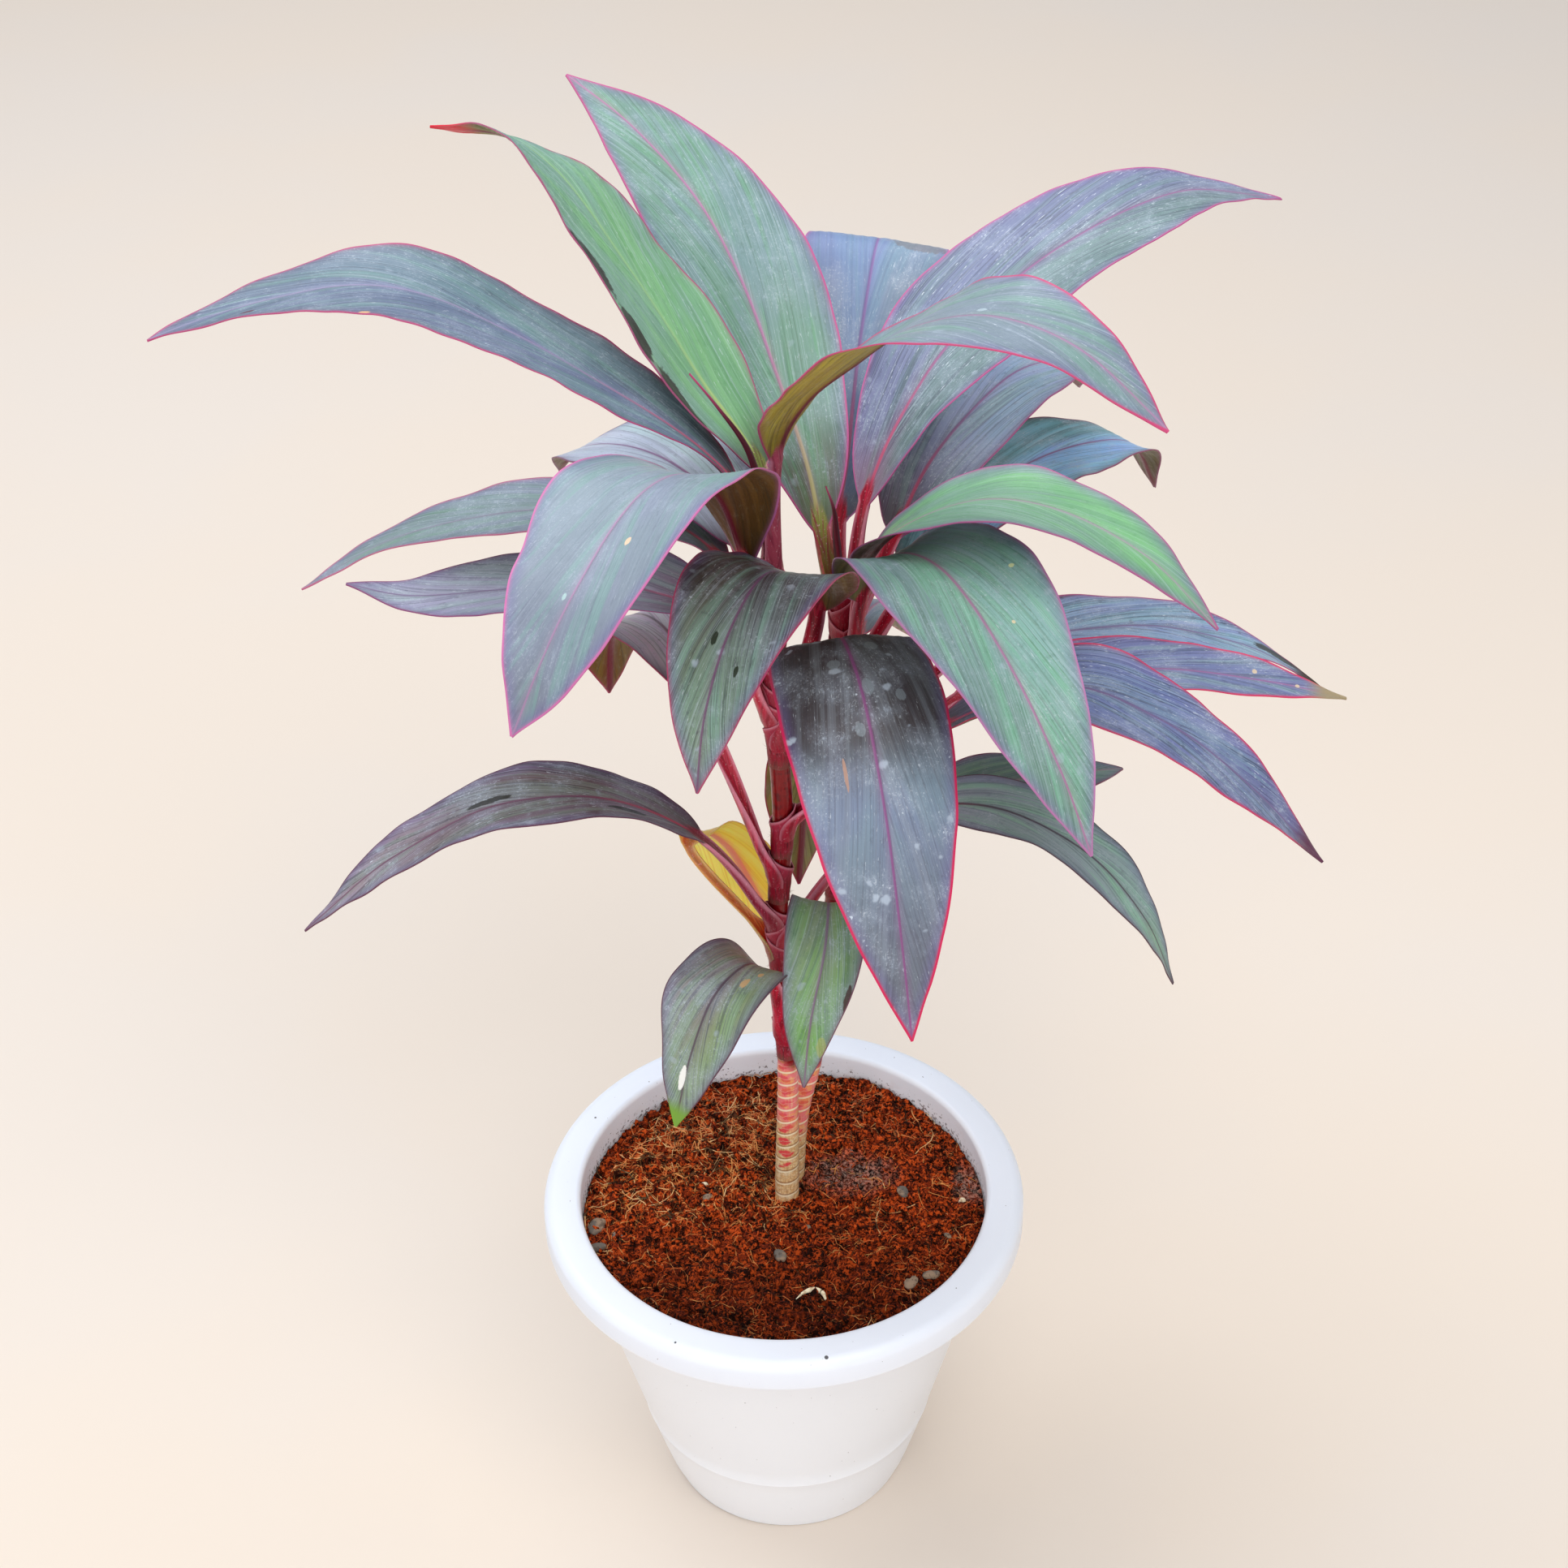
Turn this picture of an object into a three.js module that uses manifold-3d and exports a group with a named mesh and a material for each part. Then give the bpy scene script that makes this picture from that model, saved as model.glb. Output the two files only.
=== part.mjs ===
// Ti plant: two leafy canes standing in the soil of a white plastic pot.
// Lengths are millimetres, +Z is up, and the origin is the middle of the pot's underside.
// The plant is seen from -Y, with +X to the right.

import * as THREE from 'three';
import { mergeVertices } from 'three/addons/utils/BufferGeometryUtils.js';
import Module from 'manifold-3d';

const wasm = await Module();
wasm.setup();

const { PI, abs, atan2, cos, hypot, max, min, sin } = Math;
const DEGREE = PI / 180;

// Gap kept between pieces that touch
const GAP = 0.3;

// Steps of the search for a cane's point at a height, and of a midrib's length
const HALVINGS = 24;
const LENGTH_STEPS = 400;

// Pot, a thin moulded shell with a turned-down lip and a foot band
const POT = {
  height: 160,
  sides: 40,
  wall: 2.5,
  floor: 3,
  baseRadius: 53.3,
  shoulderRadius: 90.3,
  shoulderHeight: 146,
  bow: 0.92,
  footRound: 1.5,
  footBandHeight: 42,
  footBandStep: 0.7,
  openingRadius: 87.5,
  openingRound: 2.4,
  lipRadius: 103.5,
  lipBottom: 146,
  lipWall: 2.2,
  lipThick: 2.6,
  lipRound: 5,
  hollowRound: 2.4,
  drainHoles: 5,
  drainRadius: 4,
  drainCircle: 32,
  drainSides: 16,
  drainOverrun: 1,
};

// Soil, level with a slight mound round the canes
const SOIL = {
  edgeHeight: 145.5,
  mound: 2,
  lump: 0.9,
  lumpPitch: 11,
  crossLump: 0.5,
  crossPitch: 6.5,
  rings: 7,
  sideSteps: 4,
};

// Canes: the line each follows, its thickness, and where its bare ringed foot ends
const CANES = {
  front: {
    line: [[1.5, 8, 78], [1.5, 7.2, 145], [2.7, 7, 229], [0, 7, 300], [2.7, 7, 355], [0.6, 7, 410],
      [0, 7, 468]],
    scarEnd: 229,
  },
  rear: {
    line: [[3.5, 20, 78], [4, 20, 146], [7, 21.5, 183], [11.5, 23, 203], [15.5, 25, 222], [20.4, 26.7, 256],
      [24, 26.7, 304], [27.4, 26.7, 342], [27.5, 26.7, 400], [26.5, 26.7, 452]],
    scarEnd: 215,
  },
};
const CANE = {
  sides: 8,
  footRadius: 4.6,
  stemRadius: 3.7,
  footTop: 150,
  firstScar: 152,
  scarPitch: 7,
  nodePitch: 16,
  ridge: 0.4,
  ridgeHalf: 1.6,
  tipRound: 2,
};

// Leaves: each petiole clasps its cane with a short sheath and widens into one long blade
const LEAF = {
  sheathLength: 8,
  sheathWrap: 95,
  sheathWall: 1.3,
  sheathEase: 24,
  collarFlare: 0.4,
  petioleHalf: 3.2,
  petioleThick: 2.8,
  petioleWrap: 60,
  ribThick: 1.7,
  tipThick: 0.8,
  edgeThick: 0.7,
  tipHalf: 0.5,
  swell: 0.75,
  taper: 1.08,
  cup: [28, 12, 8],
  wave: 1.5,
  leftWave: 0.7,
  waves: 2.5,
  sheathRings: 2,
  petioleRings: 3,
  bladeRings: 10,
  columns: 4,
};

// Rolled young leaves that stand in the middle of each crown
const SPEAR = {
  sides: 8,
  rings: 9,
  footRadius: 2.4,
  bellyRadius: 3.1,
  belly: 0.3,
  tipRadius: 0.5,
};

// Leaves from the lowest up. foot is the height where the petiole leaves its cane. midrib runs
// from the end of the petiole to the tip, width is the blade's widest, and swell is how far
// from the petiole it gets there. roll is how far the blade leans about its midrib at the neck,
// middle and tip, right side up when looking out along it, in degrees. side is the compass
// angle where the sheath sits on the cane, and face the one the blade looks out to, where these
// aren't simply towards the neck and the tip.
const LEAVES = [
  // Low and short, hanging forward to the left
  {
    name: 'front_leaf_01', cane: 'front', foot: 238, width: 40, finish: 'purple',
    midrib: [[-3, -14, 289], [-13, -36, 315], [-25, -54, 315], [-35, -62, 291], [-42, -65, 257]],
  },
  // Dying yellow leaf, curled over behind its petiole
  {
    name: 'front_leaf_02', cane: 'front', foot: 282, side: 150, face: 90, width: 30, finish: 'yellow',
    midrib: [[-35, 12, 338], [-30, 21, 338], [-21, 30, 325], [-13, 35, 305], [-6, 37, 285], [-1, 37, 271]],
  },
  // Low on the right, arching down
  {
    name: 'front_leaf_03', cane: 'front', foot: 289, side: -10, width: 35, swell: 0.9, finish: 'purple',
    midrib: [[36, 8, 344], [60, 4, 361], [88, -3, 364], [120, -18, 354], [143, -28, 329], [156, -32, 298]],
  },
  // Low, arching far out to the left
  {
    name: 'front_leaf_04', cane: 'front', foot: 297, width: 37, finish: 'purple',
    midrib: [[-29, -10, 358], [-63, -20, 385], [-103, -28, 390], [-144, -32, 370], [-183, -35, 336]],
  },
  // Back left, its tip folded down
  {
    name: 'front_leaf_05', cane: 'front', foot: 322, width: 52, finish: 'purple',
    midrib: [[-30, 0, 421], [-38, 25, 428], [-52, 55, 420], [-65, 82, 393], [-69, 95, 355]],
  },
  // Long, hanging out to the right
  {
    name: 'front_leaf_06', cane: 'front', foot: 345, side: -10, width: 49, finish: 'purple',
    midrib: [[62, 2, 399], [109, -6, 424], [144, -22, 419], [177, -35, 398], [207, -42, 366]],
  },
  // Front left, dark, hanging
  {
    name: 'front_leaf_07', cane: 'front', foot: 389, side: -40, width: 52, finish: 'purple',
    midrib: [[17, 1, 456], [11, -20, 483], [-2, -47, 502], [-15, -76, 496], [-23, -92, 476],
      [-27, -98, 445]],
  },
  // Left, bluish, with a tip that turns up
  {
    name: 'front_leaf_08', cane: 'front', foot: 398, side: 190, width: 52, finish: 'purple',
    midrib: [[-16, -5, 456], [-37, -1, 464], [-68, 12, 463], [-104, 22, 454], [-139, 26, 449],
      [-161, 26, 455]],
  },
  // Left, narrow and green
  {
    name: 'front_leaf_09', cane: 'front', foot: 408, side: 150, width: 40, finish: 'green',
    midrib: [[-17, 20, 464], [-43, 36, 477], [-77, 47, 474], [-109, 54, 467], [-144, 58, 456],
      [-184, 56, 434]],
  },
  // Back left, behind the large front leaf
  {
    name: 'front_leaf_10', cane: 'front', foot: 418, side: 110, width: 54, finish: 'purple',
    midrib: [[-13, 27, 470], [-22, 38, 484], [-35, 50, 490], [-53, 70, 487], [-74, 92, 474],
      [-84, 104, 457]],
  },
  // Front left, broad, folded over towards the viewer
  {
    name: 'front_leaf_11', cane: 'front', foot: 428, side: -120, width: 70, swell: 1.1, finish: 'purple',
    roll: [0, -14, -4],
    midrib: [[-9, -6, 481], [-17, -20, 517], [-27, -38, 538], [-42, -62, 546], [-62, -98, 534],
      [-76, -114, 512], [-87, -118, 485]],
  },
  // Far out to the left
  {
    name: 'front_leaf_12', cane: 'front', foot: 438, side: 180, width: 56, swell: 1.05, finish: 'purple',
    midrib: [[-11, 6, 504], [-23, 7, 521], [-54, 12, 543], [-93, 18, 566], [-132, 20, 582],
      [-171, 16, 581], [-217, 8, 569]],
  },
  // Up and over to the front right
  {
    name: 'front_leaf_13', cane: 'front', foot: 447, side: -75, width: 58, swell: 1.05, finish: 'green',
    midrib: [[3, -8, 526], [13, -28, 560], [31, -48, 587], [49, -66, 608], [71, -84, 620],
      [97, -104, 619], [125, -118, 597]],
  },
  // Upright at the back left, green
  {
    name: 'front_leaf_14', cane: 'front', foot: 456, side: 90, width: 51, swell: 0.7, roll: [0, -12, -40],
    finish: 'green',
    midrib: [[-3, 18, 507], [-23, 30, 536], [-38, 42, 558], [-56, 58, 580], [-74, 74, 599],
      [-95, 88, 608], [-122, 98, 607]],
  },
  // Low, small, hanging in front of the canes
  {
    name: 'rear_leaf_01', cane: 'rear', foot: 272, side: -90, width: 32, finish: 'green',
    midrib: [[19, -3, 304], [20, -22, 334], [18, -42, 327], [12, -54, 300], [9, -58, 270]],
  },
  // Right, green, behind the others
  {
    name: 'rear_leaf_02', cane: 'rear', foot: 308, side: 20, width: 34, finish: 'green',
    midrib: [[57, 34, 341], [80, 36, 346], [107, 40, 348], [127, 48, 344], [143, 58, 338]],
  },
  // Hanging behind the canes
  {
    name: 'rear_leaf_03', cane: 'rear', foot: 322, side: 95, width: 34, finish: 'green',
    midrib: [[20, 48, 360], [16, 62, 352], [12, 76, 325], [11, 88, 288], [9, 94, 252]],
  },
  // Right, the middle one of three
  {
    name: 'rear_leaf_04', cane: 'rear', foot: 338, side: 5, width: 40, finish: 'purple',
    midrib: [[73, 34, 392], [114, 36, 400], [152, 36, 402], [193, 33, 398], [225, 30, 390]],
  },
  // Right, the top one of three
  {
    name: 'rear_leaf_05', cane: 'rear', foot: 352, side: 35, width: 42, finish: 'purple',
    midrib: [[74, 66, 389], [119, 86, 387], [156, 97, 382], [198, 100, 369], [230, 96, 350]],
  },
  // Straight back
  {
    name: 'rear_leaf_06', cane: 'rear', foot: 365, side: 75, width: 44, finish: 'purple',
    midrib: [[33, 52, 410], [43, 85, 404], [54, 120, 376], [63, 155, 338]],
  },
  // Front, dark with a bright margin, folded over towards the viewer
  {
    name: 'rear_leaf_07', cane: 'rear', foot: 376, side: -90, width: 62, finish: 'purple',
    midrib: [[27, -2, 418], [25, -30, 464], [31, -66, 467], [38, -98, 440], [43, -114, 401],
      [48, -120, 348]],
  },
  // Front right, broad and green
  {
    name: 'rear_leaf_08', cane: 'rear', foot: 387, side: -60, width: 61, finish: 'green',
    midrib: [[34, 6, 457], [45, -12, 488], [61, -44, 500], [80, -84, 490], [97, -108, 462],
      [109, -118, 430]],
  },
  // Right, at the back, its tip folded under
  {
    name: 'rear_leaf_09', cane: 'rear', foot: 397, side: 25, width: 54, finish: 'purple',
    midrib: [[53, 38, 442], [77, 72, 457], [111, 104, 460], [147, 130, 450], [161, 142, 422]],
  },
  // Right, bright green
  {
    name: 'rear_leaf_10', cane: 'rear', foot: 407, side: -30, width: 44, finish: 'green',
    midrib: [[34, 14, 462], [49, -6, 496], [78, -22, 516], [102, -36, 519], [130, -50, 509],
      [156, -60, 484]],
  },
  // Back right, dark
  {
    name: 'rear_leaf_11', cane: 'rear', foot: 416, side: 55, width: 52, finish: 'purple',
    midrib: [[48, 50, 458], [60, 64, 478], [77, 84, 490], [97, 110, 494], [116, 135, 485],
      [129, 160, 460]],
  },
  // Straight back, folding over backwards
  {
    name: 'rear_leaf_12', cane: 'rear', foot: 425, side: 95, width: 58, finish: 'purple',
    midrib: [[26, 48, 466], [30, 66, 482], [36, 100, 514], [44, 133, 538], [49, 172, 504],
      [52, 202, 460]],
  },
  // Upper right
  {
    name: 'rear_leaf_13', cane: 'rear', foot: 433, side: 40, width: 66, finish: 'purple',
    midrib: [[36, 36, 481], [53, 50, 516], [74, 66, 538], [112, 88, 560], [157, 112, 569],
      [200, 130, 557]],
  },
  // Tallest, upright at the back
  {
    name: 'rear_leaf_14', cane: 'rear', foot: 441, side: 140, face: 112, width: 60, finish: 'green',
    midrib: [[19, 33, 471], [15, 44, 490], [4, 68, 517], [-10, 96, 546], [-27, 122, 567],
      [-49, 146, 583], [-76, 168, 597]],
  },
];

// Spears, from the top of each cane to the tip
const SPEARS = [
  { name: 'front_spear', cane: 'front', line: [[-2, 6, 495], [-7, 4, 522], [-18, 2, 542], [-27, 0, 556]] },
  { name: 'rear_spear', cane: 'rear', line: [[25, 26, 470], [24, 25, 484], [21, 22, 496]] },
];

// Colours and gloss
const FINISHES = {
  pot: { color: 0xf2f3f4, roughness: 0.38 },
  soil: { color: 0x5a2c17, roughness: 0.95 },
  cane: { color: 0xa34a4a, roughness: 0.6 },
  purple: { color: 0x4f5064, roughness: 0.42 },
  green: { color: 0x4d7a5c, roughness: 0.42 },
  yellow: { color: 0xe0a52c, roughness: 0.55 },
  young: { color: 0x7a2438, roughness: 0.4 },
};

function lerp(from, to, t) {
  return from + (to - from) * t;
}

function clamp01(t) {
  return min(1, max(0, t));
}

function smooth(t) {
  const inside = clamp01(t);
  return inside * inside * (3 - 2 * inside);
}

// Value at t of a list spread evenly from 0 to 1, eased between its entries
function blend(list, t) {
  const place = clamp01(t) * (list.length - 1);
  const index = min(list.length - 2, Math.floor(place));
  return lerp(list[index], list[index + 1], smooth(place - index));
}

function point(values) {
  return new THREE.Vector3(...values);
}

function curveThrough(points) {
  const curve = new THREE.CatmullRomCurve3(points, false, 'centripetal');
  curve.arcLengthDivisions = LENGTH_STEPS;
  return curve;
}

// Points of a round stretch of a profile, from one angle to another in degrees
function arc(radius, height, round, from, to, steps) {
  return Array.from({ length: steps + 1 }, (_, i) => {
    const angle = lerp(from, to, i / steps) * DEGREE;
    return [radius + round * cos(angle), height + round * sin(angle)];
  });
}

// Closed geometry as a solid that can be joined and cut
function solidOf(geometry) {
  const bare = geometry.clone();
  bare.deleteAttribute('normal');
  bare.deleteAttribute('uv');
  const merged = mergeVertices(bare);
  return new wasm.Manifold(new wasm.Mesh({
    numProp: 3,
    vertProperties: Float32Array.from(merged.attributes.position.array),
    triVerts: Uint32Array.from(merged.index.array),
  }));
}

// Named mesh of a solid, in its finish
function meshOf(name, solid, finish) {
  const { vertProperties, triVerts } = solid.getMesh();
  const geometry = new THREE.BufferGeometry();
  geometry.setAttribute('position', new THREE.BufferAttribute(Float32Array.from(vertProperties), 3));
  geometry.setIndex(new THREE.BufferAttribute(Uint32Array.from(triVerts), 1));
  geometry.computeVertexNormals();
  const material = new THREE.MeshStandardMaterial({ ...FINISHES[finish], metalness: 0 });
  const mesh = new THREE.Mesh(geometry, material);
  mesh.name = name;
  return mesh;
}

// Closed skin over rings that each have the same even number of points. The first half of a
// ring is one face and the second half is the other, and both are split alike.
function skinOf(rings) {
  const count = rings[0].length;
  const half = count / 2;
  const last = rings.length - 1;
  const indices = [];
  for (let i = 0; i < last; i += 1) {
    for (let k = 0; k < count; k += 1) {
      const a = i * count + k;
      const b = i * count + (k + 1) % count;
      const c = b + count;
      const d = a + count;
      const pair = k < half ? [a, b, c, a, c, d] : [a, b, d, b, c, d];
      indices.push(...pair);
    }
  }
  for (let k = 0; k < half - 1; k += 1) {
    const quad = [k, k + 1, count - 2 - k, count - 1 - k];
    const end = quad.map((index) => index + last * count);
    indices.push(quad[0], quad[2], quad[1], quad[0], quad[3], quad[2]);
    indices.push(end[0], end[1], end[2], end[0], end[2], end[3]);
  }
  const geometry = new THREE.BufferGeometry();
  const positions = rings.flat().flatMap((p) => p.toArray());
  geometry.setAttribute('position', new THREE.Float32BufferAttribute(positions, 3));
  geometry.setIndex(indices);
  return solidOf(geometry);
}

// Largest body of a solid, so that no crumb of a cut is left
function largestOf(solid) {
  return solid.decompose().reduce((best, body) => (body.volume() > best.volume() ? body : best));
}

// Pot
function potOuterRadius(height) {
  const rise = clamp01(height / POT.shoulderHeight);
  return lerp(POT.baseRadius, POT.shoulderRadius, rise ** POT.bow);
}

function potInnerRadius(height) {
  return min(POT.openingRadius, potOuterRadius(height) - POT.wall);
}

// Half section of the pot: up the outside, round the lip and down the inside
function potProfile() {
  const { baseRadius, footBandHeight, footBandStep, footRound, height, hollowRound, lipBottom } = POT;
  const { lipRadius, lipRound, lipThick, lipWall, openingRadius, openingRound, shoulderRadius } = POT;
  const middle = lerp(footBandHeight, lipBottom, 0.5);
  const hollowTop = height - lipThick - hollowRound;
  const inside = [POT.shoulderHeight, middle, footBandHeight, POT.floor];
  const outline = [
    [0, 0],
    [baseRadius - footRound, 0],
    [baseRadius + footBandStep, footRound],
    [potOuterRadius(footBandHeight) + footBandStep, footBandHeight - footBandStep],
    [potOuterRadius(footBandHeight), footBandHeight],
    [potOuterRadius(middle), middle],
    [potOuterRadius(lipBottom), lipBottom],
    ...arc(shoulderRadius + hollowRound, hollowTop, hollowRound, 180, 90, 2),
    ...arc(lipRadius - lipWall - hollowRound, hollowTop, hollowRound, 90, 0, 2),
    [lipRadius - lipWall, lipBottom],
    [lipRadius, lipBottom],
    ...arc(lipRadius - lipRound, height - lipRound, lipRound, 0, 90, 3),
    ...arc(openingRadius + openingRound, height - openingRound, openingRound, 90, 180, 2),
    ...inside.map((level) => [potInnerRadius(level), level]),
    [0, POT.floor],
  ];
  return outline.map(([radius, level]) => new THREE.Vector2(radius, level));
}

// Upright round bar, used for the drain holes
function barSolid(radius, bottom, top, x, y) {
  const bar = new THREE.CylinderGeometry(radius, radius, top - bottom, POT.drainSides);
  bar.rotateX(PI / 2);
  bar.translate(x, y, (bottom + top) / 2);
  return solidOf(bar);
}

// Lathe shape turned so that it stands on +Z
function turnedSolid(profile) {
  const lathe = new THREE.LatheGeometry(profile, POT.sides);
  lathe.rotateX(PI / 2);
  return solidOf(lathe);
}

function potSolid() {
  const { drainCircle, drainHoles, drainOverrun, drainRadius, floor } = POT;
  let pot = turnedSolid(potProfile());
  for (let i = 0; i < drainHoles; i += 1) {
    const angle = (i / drainHoles) * 2 * PI;
    const x = drainCircle * cos(angle);
    const y = drainCircle * sin(angle);
    pot = pot.subtract(barSolid(drainRadius, -drainOverrun, floor + drainOverrun, x, y));
  }
  return pot;
}

// Soil
function soilHeight(x, y) {
  const out = clamp01(hypot(x, y) / potInnerRadius(SOIL.edgeHeight));
  const lumps = SOIL.lump * sin(x / SOIL.lumpPitch) * cos(y / SOIL.lumpPitch + 1);
  const crossLumps = SOIL.crossLump * sin((x - y) / SOIL.crossPitch);
  return SOIL.edgeHeight + SOIL.mound * (1 - out * out) + (lumps + crossLumps) * (1 - out);
}

// Soil body that fills the pot, with a plain hole for each cane
function soilSolid() {
  const edge = potInnerRadius(SOIL.edgeHeight) - 2 * GAP;
  const profile = [new THREE.Vector2(0, POT.floor + GAP)];
  for (let i = 0; i <= SOIL.sideSteps; i += 1) {
    const height = lerp(POT.floor + GAP, SOIL.edgeHeight, i / SOIL.sideSteps);
    profile.push(new THREE.Vector2(potInnerRadius(height) - 2 * GAP, height));
  }
  for (let i = SOIL.rings - 1; i >= 0; i -= 1) {
    profile.push(new THREE.Vector2(edge * (i / SOIL.rings), SOIL.edgeHeight));
  }
  const lathe = new THREE.LatheGeometry(profile, POT.sides);
  lathe.rotateX(PI / 2);
  const spots = lathe.attributes.position;
  for (let i = 0; i < spots.count; i += 1) {
    if (abs(spots.getZ(i) - SOIL.edgeHeight) < GAP) {
      spots.setZ(i, soilHeight(spots.getX(i), spots.getY(i)));
    }
  }
  const holes = Object.keys(CANES).map((cane) => caneSolid(cane, GAP));
  return holes.reduce((soil, hole) => soil.subtract(hole), solidOf(lathe));
}

// Canes
const caneCurves = Object.fromEntries(
  Object.entries(CANES).map(([cane, { line }]) => [cane, curveThrough(line.map(point))]),
);

// Point on a cane's centre line at a height, found by halving
function caneAt(cane, height) {
  let low = 0;
  let high = 1;
  for (let i = 0; i < HALVINGS; i += 1) {
    const middle = (low + high) / 2;
    if (caneCurves[cane].getPoint(middle).z < height) {
      low = middle;
    } else {
      high = middle;
    }
  }
  return caneCurves[cane].getPoint(low);
}

function caneEnds(cane) {
  const { line } = CANES[cane];
  return [line[0][2], line[line.length - 1][2]];
}

function caneRadius(cane, height) {
  const rise = (height - CANE.footTop) / (CANES[cane].scarEnd - CANE.footTop);
  return lerp(CANE.footRadius, CANE.stemRadius, smooth(rise));
}

// Level ring of a cane
function caneRing(cane, height, radius) {
  const centre = caneAt(cane, height);
  return Array.from({ length: CANE.sides }, (_, k) => {
    const angle = ((k + 0.5) / CANE.sides) * 2 * PI;
    return new THREE.Vector3(centre.x + radius * cos(angle), centre.y + radius * sin(angle), height);
  });
}

// Cane with a raised ring at each leaf scar, closer together on the bare foot
function caneSolid(cane, grow = 0) {
  const [bottom, top] = caneEnds(cane);
  const rings = [caneRing(cane, bottom, caneRadius(cane, bottom) + grow)];
  let node = CANE.firstScar;
  while (node < top - CANE.nodePitch / 2) {
    const radius = caneRadius(cane, node) + grow;
    rings.push(caneRing(cane, node - CANE.ridgeHalf, radius));
    rings.push(caneRing(cane, node, radius + CANE.ridge));
    rings.push(caneRing(cane, node + CANE.ridgeHalf, radius));
    node += node < CANES[cane].scarEnd ? CANE.scarPitch : CANE.nodePitch;
  }
  rings.push(caneRing(cane, top - CANE.tipRound, CANE.stemRadius + grow));
  rings.push(caneRing(cane, top, CANE.stemRadius - CANE.tipRound + grow));
  return skinOf(rings);
}

// Leaves
function headingOf(angle) {
  return new THREE.Vector3(cos(angle), sin(angle), 0);
}

function azimuth(from, to) {
  return atan2(to.y - from.y, to.x - from.x);
}

function radiansOr(angle, otherwise) {
  return angle === undefined ? otherwise : angle * DEGREE;
}

// Midrib from the sheath's foot to the tip, with the two headings that its faces look to
function leafPath(leaf) {
  const { cane, foot } = leaf;
  const spots = leaf.midrib.map(point);
  const root = caneAt(cane, foot);
  const sheathTop = caneAt(cane, foot + LEAF.sheathLength);
  const side = radiansOr(leaf.side, azimuth(root, spots[0]));
  const face = radiansOr(leaf.face, azimuth(spots[0], spots[spots.length - 1]));
  const facet = (LEAF.sheathWrap * DEGREE) / LEAF.columns;
  const clear = (caneRadius(cane, foot) + CANE.ridge + GAP) / cos(facet);
  const heel = root.addScaledVector(headingOf(side), clear);
  const collar = sheathTop.addScaledVector(headingOf(side), clear + LEAF.collarFlare);
  const curve = curveThrough([heel, collar, ...spots]);
  const lengths = curve.getLengths();
  const total = lengths[LENGTH_STEPS];
  const neckStep = Math.floor((2 * LENGTH_STEPS) / (curve.points.length - 1));
  return {
    curve,
    clear,
    side,
    turn: atan2(sin(face - side), cos(face - side)),
    sheathShare: LEAF.sheathLength / total,
    easeShare: LEAF.sheathEase / total,
    neckShare: lengths[neckStep] / total,
  };
}

// Right-hand and upward directions of a blade whose midrib runs along tangent
function leafFrame(tangent, heading, lean) {
  const right = new THREE.Vector3(sin(heading), -cos(heading), 0);
  right.addScaledVector(tangent, -right.dot(tangent)).normalize();
  const up = right.clone().cross(tangent);
  const leanedUp = up.clone().multiplyScalar(cos(lean)).addScaledVector(right, -sin(lean));
  right.multiplyScalar(cos(lean)).addScaledVector(up, sin(lean));
  return { right, up: leanedUp };
}

// Half width, turn-up of the margins and thickness along the sheath and petiole
function stalkSection({ clear, easeShare, neckShare }, share) {
  const wrap = LEAF.sheathWrap * DEGREE;
  const narrow = smooth(share / min(neckShare, easeShare));
  const open = neckShare > easeShare ? smooth((share - easeShare) / (neckShare - easeShare)) : 0;
  const closed = lerp(wrap, LEAF.petioleWrap * DEGREE, narrow);
  return {
    half: lerp(clear * wrap, LEAF.petioleHalf, narrow),
    cup: lerp(closed, LEAF.cup[0] * DEGREE, open),
    thick: lerp(lerp(LEAF.sheathWall, LEAF.petioleThick, narrow), LEAF.ribThick, open),
    wave: 0,
  };
}

// The same for the blade, with the wave of its margins
function bladeSection(leaf, t) {
  const rise = leaf.swell ?? LEAF.swell;
  const peak = rise / (rise + LEAF.taper);
  const full = peak ** rise * (1 - peak) ** LEAF.taper;
  const swell = (t ** rise * (1 - t) ** LEAF.taper) / full;
  return {
    half: lerp(lerp(LEAF.petioleHalf, LEAF.tipHalf, t), leaf.width / 2, swell),
    cup: blend(LEAF.cup, t) * DEGREE,
    thick: lerp(LEAF.ribThick, LEAF.tipThick, t),
    wave: LEAF.wave * swell * sin(2 * PI * LEAF.waves * t + leaf.foot),
  };
}

// Ring of a leaf: the upper face from left to right, then the under face from right to left
function leafRing(leaf, path, share, grow) {
  const { neckShare } = path;
  const bladeShare = clamp01((share - neckShare) / (1 - neckShare));
  const section = share < neckShare ? stalkSection(path, share) : bladeSection(leaf, bladeShare);
  const { half, cup, thick, wave } = section;
  const settled = smooth(share / neckShare);
  const lean = blend(leaf.roll ?? [0, 0, 0], bladeShare) * DEGREE * settled;
  const centre = path.curve.getPointAt(share);
  const { right, up } = leafFrame(path.curve.getTangentAt(share), path.side + path.turn * settled, lean);
  const radius = (half + grow) / cup;
  const upper = [];
  const under = [];
  for (let column = 0; column <= LEAF.columns; column += 1) {
    const t = (2 * column) / LEAF.columns - 1;
    const sideWave = wave * t * abs(t) * (t > 0 ? 1 : LEAF.leftWave);
    const normal = up.clone().multiplyScalar(cos(cup * t)).addScaledVector(right, -sin(cup * t));
    const spot = centre.clone().addScaledVector(right, radius * sin(cup * t));
    spot.addScaledVector(up, radius * (1 - cos(cup * t)) + sideWave);
    const depth = lerp(LEAF.edgeThick, thick, 1 - t * t);
    upper.push(spot.clone().addScaledVector(normal, grow));
    under.unshift(spot.clone().addScaledVector(normal, -depth - grow));
  }
  return [...upper, ...under];
}

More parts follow.
